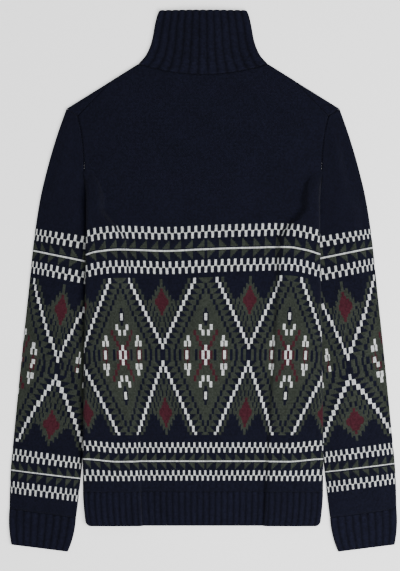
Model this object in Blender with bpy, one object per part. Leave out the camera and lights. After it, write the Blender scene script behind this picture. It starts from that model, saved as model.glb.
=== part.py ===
"""Zip-up knitted cardigan with a high ribbed collar, laid flat on its front.

Sizes are in millimetres until a mesh is made. x runs out from the centre back, y up
from the hem edge and z up from the surface that the cardigan lies on. The sides of
the body are turned under, so that the sleeves lie straight down beside it.
"""
import math

import bmesh
import bpy
from mathutils import Vector

MM = 0.001

# ---- cloth ----
WALL = 2.0          # knitted cloth, pressed flat
SEAM = 0.3          # between pieces that are sewn together
PLY_GAP = 1.1       # between back and fronts, where the zip tape lies
PAIR = 2 * WALL + PLY_GAP
ROLL = 6.0          # radius of the turned-under side, over both plies
END_RUN = 1.4       # straight cloth past a roll that isn't closed
SLEEVE_FLAT = 4.4   # height of a sleeve where the body lies on it
LIFT = SLEEVE_FLAT + SEAM
RIB_DEPTH = 0.6
RIB_PITCH = 8.85

# ---- lengths, up from the hem edge ----
HEM_TOP = 52.7
UNDERARM = 443.0
ROLL_FULL = 490.0   # the side is turned right under below this height
ROLL_START = 550.0  # and lies open above it
NECK_BACK = 699.0
NECK_FRONT = 652.0
NECK_SIDE = (100.0, 715.3)
STRIP_START = (142.6, 688.7)
STRIP_CORNER = (194.3, 634.7)
SHOULDER_TIP = (211.2, 646.0)
COLLAR_TOP = 798.4
COLLAR_TOP_FRONT = 772.0
CUFF_FOOT = -40.0
ZIP_EDGE = 4.0      # from the centre to a front's edge

# ---- outline: (height, distance from the centre line) ----
BODY_EDGE = (
    (0, 180.0), (8, 182.5), (52, 186.0), (90, 186.0), (300, 183.5), (504, 180.8),
    (532, 183.2), (550, 186.0),
)
SIDE_SEAM = ((0, 104.0), (200, 115.0), (443, 130.0))
SLEEVE_INSIDE = (
    (13, 196.5), (33, 193.8), (61, 190.7), (86, 187.9), (140, 182.0), (230, 170.0),
    (340, 152.0), (443, 131.0),
)
SLEEVE_OUTSIDE = (
    (27, 299.9), (80, 298.3), (132, 293.7), (281, 279.0), (368, 269.7), (442, 262.0),
    (504, 252.7), (554, 241.0), (604, 226.3), (646, 211.5),
)
ARMHOLE_BACK = (
    (443, 131.0), (465, 149.0), (488, 167.5), (510, 177.5), (532, 183.2), (550, 183.6),
    (580, 185.2), (610, 188.6), (634.7, 194.6),
)
ARMHOLE_FRONT = ((550, 183.6), (580, 185.6), (610, 191.4), (632, 200.2))
COLLAR_SIDE = (
    (715.3, 100.0), (727.7, 89.1), (740.1, 82.9), (752.5, 79.0), (777.3, 74.4),
    (798.4, 69.0),
)
ROW_HEIGHTS = (
    53, 78, 105, 140, 200, 265, 330, 388, 424, 443, 465, 488, 499, 510, 521, 532, 541,
    550,
)
UPPER_HEIGHTS = (580, 610, 634.7)


def on_curve(table, at):
    """Value of a (position, value) table, on a smooth curve that doesn't overshoot."""
    if at <= table[0][0]:
        return float(table[0][1])
    if at >= table[-1][0]:
        return float(table[-1][1])
    slopes = [(b[1] - a[1]) / (b[0] - a[0]) for a, b in zip(table, table[1:])]

    def tangent(i):
        if i in (0, len(table) - 1):
            return slopes[min(i, len(slopes) - 1)]
        before, after = slopes[i - 1], slopes[i]
        return 0.0 if before * after <= 0 else 2 * before * after / (before + after)

    i = max(k for k in range(len(slopes)) if table[k][0] <= at)
    span = table[i + 1][0] - table[i][0]
    t = (at - table[i][0]) / span
    return (
        (2 * t ** 3 - 3 * t ** 2 + 1) * table[i][1]
        + (t ** 3 - 2 * t ** 2 + t) * span * tangent(i)
        + (3 * t ** 2 - 2 * t ** 3) * table[i + 1][1]
        + (t ** 3 - t ** 2) * span * tangent(i + 1)
    )


def ease(t):
    """Smooth step from 0 to 1."""
    t = min(max(t, 0.0), 1.0)
    return t * t * (3 - 2 * t)


def mix(a, b, t):
    return tuple(p + (q - p) * t for p, q in zip(a, b))


# ---- cross-section of the body: the back's outer face, from the centre outwards ----

def arc(path, heading, radius, turn, steps):
    """Adds an arc to the path and returns the new heading."""
    side = 1 if turn > 0 else -1
    x, z = path[-1]
    centre = (x - side * radius * math.sin(heading), z + side * radius * math.cos(heading))
    for i in range(1, steps + 1):
        h = heading + turn * i / steps
        path.append((centre[0] + side * radius * math.sin(h),
                     centre[1] - side * radius * math.cos(h)))
    return heading + turn


def slope(drop, steepest, first, last):
    """Six (run, fall) steps of a bend down, a straight and a bend back to level."""
    angle = min(steepest, math.acos(1 - 0.9 * drop / (first + last)))
    path = [(0.0, 0.0)]
    arc(path, 0.0, first, -angle, 2)
    straight = (drop - (first + last) * (1 - math.cos(angle))) / math.sin(angle)
    path.append((path[-1][0] + straight * math.cos(angle),
                 path[-1][1] - straight * math.sin(angle)))
    arc(path, -angle, last, angle, 2)
    return [(x, -z) for x, z in path]


def body_section(y):
    """Outer face of the back at height y: 13 points on top, then 13 round and below."""
    edge = on_curve(BODY_EDGE, y)
    turned = min(max((ROLL_START - y) / (ROLL_START - ROLL_FULL), 0.001), 1.0)
    angle = math.pi * turned
    lift = LIFT * ease((y - 60) / 40) if y < 100 else LIFT * ease(turned / 0.45)
    radius = ROLL + 2.0 * math.sin(angle)
    fall = radius * (1 - math.cos(angle))
    top = lift + fall + max(PAIR * math.cos(angle), 0.0) + END_RUN * math.sin(angle)
    seam = on_curve(SIDE_SEAM, y) if y < UNDERARM else on_curve(ARMHOLE_BACK, y) - 1.0
    tangent = edge - radius
    seam = min(seam, tangent - 4.5)
    inside = on_curve(SLEEVE_INSIDE, y) if y < UNDERARM else seam
    start = min(inside + 1.0, tangent - 1.5)
    drop = lift * ease((start - seam - 6.0) / 22.0) if y < UNDERARM else 0.0
    flat_top = top - drop

    path = [(0.0, PAIR), (60.0, PAIR)]
    if top - PAIR > 0.5:
        ramp = slope(flat_top - PAIR, math.radians(50), 6.2, 2.5)
        high = seam - 4.0
        ramp = [(high - x, flat_top - z) for x, z in reversed(ramp)]
    else:
        ramp = [(tangent - 24.0 + 2.6 * i, PAIR) for i in range(6)]
    path += ramp
    inner, sloping = ramp[-1][0], max(inside + 3.0 - ramp[-1][0], 8.0)
    for share in (0.25, 0.5, 0.72, 0.9):
        x = inner + (tangent - inner) * share
        crown = min(1.2, (tangent - inner) / 30) * math.sin(math.pi * share)
        path.append((x, top - drop * max(1 - (x - inner) / sloping, 0.0) + crown * turned))
    path.append((tangent, top))

    under = [path[-1]]
    heading = arc(under, 0.0, radius, -angle, 6)
    under = under[1:]
    x, z = under[-1]
    if drop > 0.05:
        bend = slope(drop, math.radians(35), 1.5, 6.2)
        points = [(start - run, lift - low) for run, low in bend] + [(seam, lift - drop)]
    else:
        run = max(x - seam, END_RUN) if turned >= 1 else END_RUN
        points = [(x + math.cos(heading) * run * i / 7, z + math.sin(heading) * run * i / 7)
                  for i in range(1, 8)]
    return path, under + points


TOP_POINTS = 13


def offset(path, depth):
    """The path moved in by depth, with mitred corners, so that its walls stay parallel."""
    out = []
    for i, (x, z) in enumerate(path):
        ways = []
        for a, b in ((i - 1, i), (i, i + 1)):
            if a >= 0 and b < len(path):
                dx, dz = path[b][0] - path[a][0], path[b][1] - path[a][1]
                length = math.hypot(dx, dz)
                ways.append((dz / length, -dx / length))
        nx = sum(w[0] for w in ways) / len(ways)
        nz = sum(w[1] for w in ways) / len(ways)
        square = nx * nx + nz * nz
        out.append((x + depth * nx / square, z + depth * nz / square))
    return out


def coons(low, high, left, right):
    """Grid of (x, y) points between four boundary lines, rows from low to high."""
    across, up = len(low) - 1, len(left) - 1
    grid = []
    for j in range(up + 1):
        v = j / up
        row = []
        for i in range(across + 1):
            u = i / across
            row.append(tuple(
                (1 - v) * low[i][k] + v * high[i][k] + (1 - u) * left[j][k]
                + u * right[j][k]
                - (1 - u) * (1 - v) * low[0][k] - u * (1 - v) * low[-1][k]
                - (1 - u) * v * high[0][k] - u * v * high[-1][k]
                for k in (0, 1)
            ))
        grid.append(row)
    return grid


# ---- solids ----

class Sheet:
    """A piece of cloth: matched outer and inner points, and the faces between them."""

    def __init__(self):
        self.outer, self.inner, self.faces = [], [], []

    def add(self, outer, inner):
        self.outer.append(outer)
        self.inner.append(inner)
        return len(self.outer) - 1

    def join(self, first, second):
        """Faces between two rows of point numbers of equal length."""
        for a, b, c, d in zip(first, first[1:], second[1:], second):
            for face in ((a, b, c), (a, c, d)):
                if len(set(face)) == 3:
                    self.faces.append(face)

    def drop_unused(self):
        """Leaves out the points that no face uses."""
        used = sorted({i for face in self.faces for i in face})
        number = {old: new for new, old in enumerate(used)}
        self.outer = [self.outer[i] for i in used]
        self.inner = [self.inner[i] for i in used]
        self.faces = [tuple(number[i] for i in face) for face in self.faces]

    def mirrored(self):
        copy = Sheet()
        copy.outer = [(-x, y, z) for x, y, z in self.outer]
        copy.inner = [(-x, y, z) for x, y, z in self.inner]
        copy.faces = [(a, c, b) for a, b, c in self.faces]
        return copy


def in_world(x, y, z):
    """A point in metres, from the middle of the cardigan's length."""
    return Vector((x, y - (COLLAR_TOP + CUFF_FOOT) / 2, z)) * MM


def solid(name, sheet, colour):
    """Closes a sheet along its border and makes it an object."""
    mesh = bmesh.new()
    outer = [mesh.verts.new(in_world(*p)) for p in sheet.outer]
    inner = [mesh.verts.new(in_world(*p)) for p in sheet.inner]
    border = {}
    for face in sheet.faces:
        mesh.faces.new([outer[i] for i in face])
        mesh.faces.new([inner[i] for i in reversed(face)])
        for a, b in zip(face, face[1:] + face[:1]):
            if (b, a) in border:
                del border[(b, a)]
            else:
                border[(a, b)] = True
    for a, b in border:
        mesh.faces.new((outer[b], outer[a], inner[a]))
        mesh.faces.new((outer[b], inner[a], inner[b]))
    place(name, mesh, colour)


def place(name, mesh, colour):
    """Makes a mesh an object of the cardigan, with its faces pointing out."""
    bmesh.ops.recalc_face_normals(mesh, faces=mesh.faces)
    data = bpy.data.meshes.new(name)
    mesh.to_mesh(data)
    mesh.free()
    data.materials.append(material(*colour))
    obj = bpy.data.objects.new(name, data)
    cardigan.objects.link(obj)
    return obj


def material(name, rgb, roughness, metallic):
    found = bpy.data.materials.get(name)
    if found:
        return found
    made = bpy.data.materials.new(name)
    made.use_nodes = True
    shader = made.node_tree.nodes["Principled BSDF"]
    shader.inputs["Base Color"].default_value = (*rgb, 1.0)
    shader.inputs["Roughness"].default_value = roughness
    shader.inputs["Metallic"].default_value = metallic
    return made


KNIT = ("jacquard_knit", (0.028, 0.032, 0.052), 0.95, 0.0)
RIB = ("rib_knit", (0.010, 0.012, 0.026), 0.95, 0.0)
TAPE = ("zip_tape", (0.010, 0.012, 0.020), 0.9, 0.0)
METAL = ("zip_metal", (0.35, 0.35, 0.36), 0.35, 1.0)


def along_side(y, low, high):
    """The body's ply at height y between two depths: points on top, points under."""
    top, under = body_section(y)
    both = top + under
    a, b = offset(both, low), offset(both, high)
    return ([(x, y, z) for x, z in a], [(x, y, z) for x, z in b])


def neck_line(stations, centre, power):
    """(x, y) points of a neck seam that rises from the centre to the neck's side."""
    return [(x, centre + (NECK_SIDE[1] - centre) * (x / NECK_SIDE[0]) ** power)
            for x in stations]


NECK_BACK_LINE = neck_line((0, 20, 40, 60, 80, 100), NECK_BACK, 2.0)
NECK_FRONT_LINE = neck_line((ZIP_EDGE, 22, 42, 62, 82, 100), NECK_FRONT, 2.6)


def on_line(points, x):
    """Height of a straight-sided line at x."""
    for a, b in zip(points, points[1:]):
        if x <= b[0]:
            return a[1] + (b[1] - a[1]) * (max(x, a[0]) - a[0]) / (b[0] - a[0])
    return points[-1][1]


def shoulder_strip(share):
    """Silhouette and seam points of the strip that comes over the shoulder."""
    rim = mix(STRIP_START, SHOULDER_TIP, share)
    return rim, mix(STRIP_START, STRIP_CORNER, share)


def back():
    """One sheet over both sides, each with its turned-under edge."""
    sheet = Sheet()
    rows = []
    for y in ROW_HEIGHTS:
        outer, inner = along_side(y, 0.0, WALL)
        rows.append((outer, inner))
    foot = [p[:2] for p in rows[-1][0][:TOP_POINTS]]
    last = foot[-1][0]
    end = ARMHOLE_BACK[5][1] - SEAM
    foot = [(x * end / last, y) for x, y in foot]
    top = list(NECK_BACK_LINE)
    top += [mix(NECK_SIDE, STRIP_START, t) for t in (0.5, 1.0)]
    for share in (0.2, 0.4, 0.6, 0.8, 1.0):
        x, y = shoulder_strip(share)[1]
        top.append((x - 1.2 * SEAM * share, y - 1.5 * SEAM))
    centre = [(0.0, ROLL_START + (NECK_BACK - ROLL_START) * t / 3) for t in range(4)]
    side = [foot[-1]] + [(on_curve(ARMHOLE_BACK, y) - SEAM, y) for y in UPPER_HEIGHTS]
    side[-1] = top[-1]
    upper = coons(foot, top, centre, side)

    def half(sign):
        lines = []
        for outer, inner in rows[:-1]:
            lines.append([sheet.add((sign * a[0], a[1], a[2]), (sign * b[0], b[1], b[2]))
                          for a, b in zip(outer, inner)])
        for row in upper:
            lines.append([sheet.add((sign * x, y, PAIR), (sign * x, y, PAIR - WALL))
                          for x, y in row])
        return lines

    right, left = half(1), half(-1)
    folded = len(rows) - 1
    for i, (r, l) in enumerate(zip(right, left)):
        l[0] = r[0]
    for i in range(len(right) - 1):
        if i < folded - 1:
            sheet.join(right[i], right[i + 1])
            sheet.join(left[i + 1], left[i])
            continue
        sheet.join(right[i][:TOP_POINTS], right[i + 1][:TOP_POINTS])
        sheet.join(left[i + 1][:TOP_POINTS], left[i][:TOP_POINTS])
        if i == folded - 1:
            for line, sign in ((right, 1), (left, -1)):
                tail, apex = line[i][TOP_POINTS - 1:], line[i + 1][TOP_POINTS - 1]
                for a, b in zip(tail, tail[1:]):
                    sheet.faces.append((a, b, apex) if sign > 0 else (b, a, apex))
    sheet.drop_unused()
    solid("back", sheet, KNIT)


def front_sheet():
    """The front that lies under the back's right half, with its shoulder strip."""
    sheet = Sheet()
    low, high = WALL + PLY_GAP, PAIR
    lines = []
    for y in ROW_HEIGHTS[:-1]:
        inner, outer = along_side(y, low, high)
        inner[0], outer[0] = ((ZIP_EDGE, p[1], p[2]) for p in (inner[0], outer[0]))
        lines.append([sheet.add(a, b) for a, b in zip(outer, inner)])
    foot = [(p[0], ROLL_START) for p in body_section(ROLL_START)[0]]
    end = ARMHOLE_FRONT[0][1] - SEAM
    foot = [(max(x * end / foot[-1][0], ZIP_EDGE), y) for x, y in foot]
    top = list(NECK_FRONT_LINE)
    top += [mix(NECK_SIDE, STRIP_START, t) for t in (0.5, 1.0)]
    shares = (0.2, 0.4, 0.6, 0.8, 1.0)
    run = Vector(SHOULDER_TIP) - Vector(NECK_SIDE)
    outward = Vector((-run.y, run.x)).normalized()
    radius = PAIR / 2
    for share in shares:
        rim, seam = (Vector(p) for p in shoulder_strip(share))
        top.append(tuple(rim.lerp(seam, radius / (rim - seam).dot(outward))))
    centre = [(ZIP_EDGE, ROLL_START + (NECK_FRONT - ROLL_START) * t / 4) for t in range(5)]
    side = [foot[-1]] + [(x - SEAM, y) for y, x in ARMHOLE_FRONT[1:]] + [top[-1]]
    for row in coons(foot, top, centre, side):
        lines.append([sheet.add((x, y, 0.0), (x, y, WALL)) for x, y in row])
    folded = len(ROW_HEIGHTS) - 1
    for i in range(len(lines) - 1):
        if i < folded - 1:
            sheet.join(lines[i + 1], lines[i])
            continue
        sheet.join(lines[i + 1][:TOP_POINTS], lines[i][:TOP_POINTS])
        if i == folded - 1:
            tail, apex = lines[i][TOP_POINTS - 1:], lines[i + 1][TOP_POINTS - 1]
            for a, b in zip(tail, tail[1:]):
                sheet.faces.append((b, a, apex))
    # over the shoulder: round the rim, then flat on the back to the seam
    before = None
    for number, share in enumerate(shares):
        rim, seam = (Vector(p) for p in shoulder_strip(share))
        width = (rim - seam).dot(outward)
        line = [lines[-1][8 + number]]
        for turn in (45, 90, 135, 180):
            swing = math.radians(turn)

            def at(r):
                inset = radius - r * math.sin(swing)
                return (*rim.lerp(seam, inset / width), radius - r * math.cos(swing))

            line.append(sheet.add(at(radius), at(radius - WALL)))
        line.append(sheet.add((*seam, PAIR), (*seam, PAIR - WALL)))
        if before:
            sheet.join(before, line)
        before = line
    sheet.drop_unused()
    return sheet


def fronts():
    sheet = front_sheet()
    solid("front_right", sheet, KNIT)
    solid("front_left", sheet.mirrored(), KNIT)


# ---- hem ----

def resample(path, stations):
    """Points of a path at given lengths along it."""
    out, done, i = [], 0.0, 0
    length = math.dist(path[0], path[1])
    for s in stations:
        while s > done + length and i < len(path) - 2:
            done += length
            i += 1
            length = math.dist(path[i], path[i + 1])
        out.append(mix(path[i], path[i + 1], (s - done) / length))
    return out


def path_length(path):
    return sum(math.dist(a, b) for a, b in zip(path, path[1:]))


def rib_stations(ribs):
    """(position in pitches, depth) of the points across a number of ribs."""
    out = []
    for rib in range(ribs):
        out += [(rib, RIB_DEPTH), (rib + 0.3, 0.0), (rib + 0.7, 0.0)]
    return out + [(ribs, RIB_DEPTH)]


SHOWN_RIBS = 8      # on a front, between the zip and the bend over the turned-under side


def hem():
    ends = []
    for y in (0.0, HEM_TOP):
        top, under = body_section(y)
        ends.append((y, top + under))
    ribs = round(path_length(ends[0][1]) / RIB_PITCH)
    # the back's rib, all ribbed
    sheet, lines = Sheet(), []
    for y, path in ends:
        total = path_length(path)
        spots = [(s / ribs * total, d) for s, d in rib_stations(ribs)]
        points = resample(path, [s for s, _ in spots])
        inner = offset(points, WALL)
        raised = [offset(points, d)[i] for i, (_, d) in enumerate(spots)]
        right = [((x, y, z), (a, y, b)) for (x, z), (a, b) in zip(raised, inner)]
        left = [((-x, y, z), (-a, y, b)) for (x, y, z), (a, _, b) in reversed(right[1:])]
        lines.append([sheet.add(a, b) for a, b in left + right])
    sheet.join(lines[0], lines[1])
    solid("hem_back", sheet, RIB)
    # each front's rib: ribbed where it faces the surface, plain where it is turned under
    sheet, lines = Sheet(), []
    for y, path in ends:
        total = path_length(path)
        scale = total / ribs
        spots = [(ZIP_EDGE + s * scale, d) for s, d in rib_stations(SHOWN_RIBS)]
        corners = [path_length(path[:i + 1]) for i in range(len(path))]
        spots += [(s, 0.0) for s in corners if s > SHOWN_RIBS * RIB_PITCH + ZIP_EDGE + 3.0]
        points = resample(path, [s for s, _ in spots])
        inner = offset(points, WALL + PLY_GAP)
        raised = [offset(points, PAIR - d)[i] for i, (_, d) in enumerate(spots)]
        lines.append([sheet.add((x, y, z), (a, y, b))
                      for (x, z), (a, b) in zip(raised, inner)])
    sheet.join(lines[1], lines[0])
    solid("hem_front_right", sheet, RIB)
    solid("hem_front_left", sheet.mirrored(), RIB)


# ---- sleeves and cuffs ----

SLEEVE_TOP = (0.0, 0.025, 0.1, 0.2, 0.32, 0.45, 0.58, 0.71, 0.85, 0.97, 1.0)
SLEEVE_UNDER = (0.97, 0.85, 0.68, 0.5, 0.34, 0.18, 0.025)
SLEEVE_ROWS = 12
FOLD_BOW = 0.86     # share of the height reached by the first point past a fold


def sleeve_height(x, y):
    """Height of a sleeve's upper face: low beside the body, soft in the middle."""
    if y > ROLL_START:
        beside = x - on_curve(ARMHOLE_BACK, y)
        rest = SLEEVE_FLAT + (PAIR - SLEEVE_FLAT) * ease((y - ROLL_START) / 30)
    else:
        beside = x - on_curve(BODY_EDGE, y)
        rest = SLEEVE_FLAT
    out = on_curve(SLEEVE_OUTSIDE, y) - x
    return rest + 3.0 * ease(beside / 34) * ease(out / 30)


def sleeve_sheet():
    cuff_out, cuff_in = (299.9, 27.0), (196.5, 13.0)
    tip = (SHOULDER_TIP[0] + 0.2, SHOULDER_TIP[1] - SEAM)
    corner = (STRIP_CORNER[0] + 0.3, STRIP_CORNER[1] - SEAM)
    beside_tip = mix(tip, corner, 0.15)
    hole = [(on_curve(ARMHOLE_BACK, y), y) for y in (610, 580, 550, 532, 510, 488, 465)]
    top_hole = [tip, beside_tip, corner] + hole + [(131.0, UNDERARM)]
    under_hole = [(on_curve(ARMHOLE_BACK, y), y) for y in (465, 510)]
    under_hole += [(x, y) for y, x in ARMHOLE_FRONT]
    under_hole += [mix((200.2, 632.0), tip, 0.8)]
    ends = [top_hole[0]] + under_hole[::-1] + [top_hole[-1]]

    def edge(table, low, high):
        heights = [low + (high - low) * j / SLEEVE_ROWS for j in range(SLEEVE_ROWS + 1)]
        return [(on_curve(table, y), y) for y in heights]

    outside = edge(SLEEVE_OUTSIDE, cuff_out[1], tip[1])
    inside = edge(SLEEVE_INSIDE, cuff_in[1], UNDERARM)
    outside[0], outside[-1], inside[-1] = cuff_out, tip, (131.0, UNDERARM)
    foot_top = [mix(cuff_out, cuff_in, p) for p in SLEEVE_TOP]
    foot_under = [mix(cuff_out, cuff_in, p) for p in (0.0,) + SLEEVE_UNDER[::-1] + (1.0,)]
    upper = coons(foot_top, top_hole, outside, inside)
    under = coons(foot_under, ends, outside, inside)
    return tube(upper, under)


def inner_point(row, i, share):
    """A point of a row, moved in by the wall's thickness near the tube's two folds."""
    if 1 < i < len(row) - 2:
        return row[i]
    inset = WALL / math.dist(row[0], row[-1]) * (1 - 2 * share)
    return tuple(p + (b - a) * inset for p, a, b in zip(row[i], row[0], row[-1]))


def tube(upper, under):
    """A flattened tube from grids of its upper and under plies."""
    sheet, rings = Sheet(), []
    under_shares = (0.0,) + SLEEVE_UNDER[::-1] + (1.0,)
    for top_row, under_row in zip(upper, under):
        ring = []
        last = len(top_row) - 1
        for i, (x, y) in enumerate(top_row):
            high = sleeve_height(x, y)
            inner = inner_point(top_row, i, SLEEVE_TOP[i])
            if i in (0, last):
                ring.append(sheet.add((x, y, high / 2), (*inner, high / 2)))
            else:
                bow = FOLD_BOW if i in (1, last - 1) else 1.0
                ring.append(sheet.add((x, y, bow * high), (*inner, high - WALL)))
        last = len(under_row) - 1
        for i in range(last - 1, 0, -1):
            x, y = under_row[i]
            low = (1 - FOLD_BOW) * sleeve_height(x, y) if i in (1, last - 1) else 0.0
            ring.append(sheet.add((x, y, low), (*inner_point(under_row, i, under_shares[i]), WALL)))
        rings.append(ring + ring[:1])
    for a, b in zip(rings, rings[1:]):
        sheet.join(b, a)
    return sheet


def sleeves():
    sheet = sleeve_sheet()
    solid("sleeve_right", sheet, KNIT)
    solid("sleeve_left", sheet.mirrored(), KNIT)


CUFF_RIBS = 9


def cuff_sheet():
    """Ribbed tube, narrowing to the wrist."""
    top = ((299.9, 26.7), (196.5, 12.7))
    foot = ((296.8, -29.0), (209.3, -40.0))
    middle = ((300.4, -2.0), (200.6, -15.0))
    height = 6.0
    stations = [(s / CUFF_RIBS, d) for s, d in rib_stations(CUFF_RIBS)]
    sheet, rings = Sheet(), []
    for out, inn in (foot, middle, top):
        width = math.dist(out, inn)
        inset = WALL / width
        ring = []
        for share, depth in stations:
            rim = min(share, 1 - share) * width
            bow = min(rim / 3.0, 1.0)
            x, y = mix(out, inn, share)
            px, py = mix(out, inn, inset + share * (1 - 2 * inset))
            z = height / 2 + (height / 2 - depth) * bow
            ring.append(sheet.add((x, y, z), (px, py, height / 2 + (height / 2 - WALL) * bow)))
        for share, depth in reversed(stations[1:-1]):
            rim = min(share, 1 - share) * width
            bow = min(rim / 3.0, 1.0)
            x, y = mix(out, inn, share)
            px, py = mix(out, inn, inset + share * (1 - 2 * inset))
            z = height / 2 - (height / 2 - depth) * bow
            ring.append(sheet.add((x, y, z), (px, py, height / 2 - (height / 2 - WALL) * bow)))
        rings.append(ring + ring[:1])
    for a, b in zip(rings, rings[1:]):
        sheet.join(b, a)
    return sheet


def cuffs():
    sheet = cuff_sheet()
    solid("cuff_right", sheet, RIB)
    solid("cuff_left", sheet.mirrored(), RIB)


# ---- collar ----

COLLAR_RIBS = 13
COLLAR_ROWS = (0.0, 0.2, 0.45, 0.54, 0.63, 0.8, 1.0)
ARCH = 4.0          # how far the slider holds the front of the collar up


def arch(x, y):
    """Lift of the collar's front over the slider and its tab."""
    return ARCH * ease((y - 706) / 22) * (1 - ease((abs(x) - 12) / 36))


def collar_dome(x, y):
    """Height of the inner face of the collar's back."""
    rise = 5.3 * ease((y - NECK_BACK) / 22) * (1 - 0.8 * ease((abs(x) - 15) / 45))
    return WALL + PLY_GAP + rise


def collar_rim(y, low):
    """Height of the collar's side fold; it starts below the back."""
    start = WALL + 0.3
    return start + ((WALL + low) / 2 - start) * ease((y - NECK_SIDE[1]) / 15)


def collar():
    sheet, lines = Sheet(), []
    stations = rib_stations(COLLAR_RIBS)
    for v in COLLAR_ROWS:

        def spot(share, seam_line, top_height):
            """Point at a share of the half width, v of the way up."""
            base = on_line(seam_line, share * NECK_SIDE[0]) + SEAM
            y = base + (top_height(share) - base) * v
            side = on_curve(COLLAR_SIDE, NECK_SIDE[1] + (COLLAR_TOP - NECK_SIDE[1]) * v)
            return share * side, y

        def front_top(share):
            return COLLAR_TOP_FRONT + (COLLAR_TOP - COLLAR_TOP_FRONT) * share ** 2

        back_line, front_line = [], []
        side = on_curve(COLLAR_SIDE, NECK_SIDE[1] + (COLLAR_TOP - NECK_SIDE[1]) * v)
        for s, depth in stations:
            share = 2 * s / COLLAR_RIBS - 1
            x, y = spot(abs(share), NECK_BACK_LINE, lambda _: COLLAR_TOP)
            x = math.copysign(x, share)
            bow = min((1 - abs(share)) * side / 3.0, 1.0)
            low = collar_dome(x, y)
            top = low + WALL + 0.6 - depth
            middle = collar_rim(y, low)
            inset = math.copysign(max(abs(x) - WALL * (1 - min((1 - abs(share)) * 4, 1.0)), 0), x)
            back_line.append(((x, y, middle + (top - middle) * bow),
                              (inset, y, middle + (low - middle) * bow)))
        for s, depth in stations:
            share = 1 - 2 * s / COLLAR_RIBS
            if share <= 0:
                break
            x, y = spot(share, NECK_FRONT_LINE, front_top)
            x = max(x, ZIP_EDGE)
            bow = min((1 - share) * side / 3.0, 1.0)
            lift = arch(x, y)
            low, high = lift + depth, lift + WALL
            middle = collar_rim(y, collar_dome(x, y))
            inset = x - WALL * (1 - min((1 - share) * 4, 1.0))
            front_line.append(((x, y, middle + (low - middle) * bow),
                               (inset, y, middle + (high - middle) * bow)))
        end_out, end_in = front_line[-1]
        if end_out[0] > ZIP_EDGE + 0.5:
            y = end_out[1]
            lift = arch(ZIP_EDGE, y)
            front_line.append(((ZIP_EDGE, y, lift + RIB_DEPTH), (ZIP_EDGE, y, lift + WALL)))
        right = front_line[1:]
        left = [((-a[0], a[1], a[2]), (-b[0], b[1], b[2])) for a, b in reversed(right)]
        lines.append([sheet.add(a, b) for a, b in left + back_line + right])
    for a, b in zip(lines, lines[1:]):
        sheet.join(a, b)
    solid("collar", sheet, RIB)


# ---- zip ----

TAPE_THICK = 0.5
TAPE_WIDTH = 14.0
CHAIN_HALF = 2.9
CHAIN_LOW = 0.4
ZIP_TOP = 768.0
SPLIT = 760.2       # above this height the two rows part round the slider's post


def zip_tapes():
    """Each tape with its own row of teeth, which stay plain here."""
    low = WALL + SEAM
    section = ((0.25, CHAIN_LOW), (CHAIN_HALF, CHAIN_LOW), (CHAIN_HALF, low + 0.02),
               (TAPE_WIDTH, low + 0.02), (TAPE_WIDTH, low + TAPE_THICK),
               (0.25, low + TAPE_THICK))
    foot, rise = NECK_FRONT + SEAM, COLLAR_TOP_FRONT - NECK_FRONT - SEAM
    heights = [10.0, 300.0] + [foot + rise * v for v in COLLAR_ROWS[:-1]]
    heights += [SPLIT - 4.0, SPLIT, ZIP_TOP]
    for name, sign in (("zip_tape_right", 1), ("zip_tape_left", -1)):
        mesh = bmesh.new()
        rings = []
        for y in heights:
            ring = []
            for x, z in section:
                if y >= SPLIT:
                    x = max(x, POST_HALF + 0.3)
                ring.append(mesh.verts.new(in_world(sign * x, y, z + arch(0.0, y))))
            rings.append(ring)
        for a, b in zip(rings, rings[1:]):
            for i in range(len(section)):
                k = (i + 1) % len(section)
                mesh.faces.new((a[i], a[k], b[k], b[i]))
        mesh.faces.new(rings[0])
        mesh.faces.new(rings[-1])
        place(name, mesh, TAPE)


def box_mesh(mesh, low, high):
    """Adds a box to a mesh, given its lowest and highest corners in millimetres."""
    for v in bmesh.ops.create_cube(mesh, size=1.0)["verts"]:
        v.co = in_world(*(a + (c + 0.5) * (b - a) for a, b, c in zip(low, high, v.co)))


def zip_hardware():
    """Box at the foot, top stops and the slider with its bridge."""
    mesh = bmesh.new()
    box_mesh(mesh, (-3.6, 1.0, 0.3), (3.6, 9.6, 2.7))
    bmesh.ops.bevel(mesh, geom=mesh.edges[:], offset=0.5 * MM, segments=1, affect="EDGES")
    place("zip_box", mesh, METAL)
    for name, sign in (("zip_stop_right", 1), ("zip_stop_left", -1)):
        mesh = bmesh.new()
        xs = sorted((sign * 0.4, sign * 2.8))
        box_mesh(mesh, (xs[0], ZIP_TOP + 0.3, ARCH + 0.3), (xs[1], ZIP_TOP + 3.0, ARCH + 3.0))
        bmesh.ops.bevel(mesh, geom=mesh.edges[:], offset=0.4 * MM, segments=1, affect="EDGES")
        place(name, mesh, METAL)


SLIDER_HALF = 3.6
POST_HALF = 0.5
BAR_Y = 757.0       # the pull tab's hinge, across the zip
BAR_Z = 2.25
BAR_RADIUS = 0.6


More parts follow.
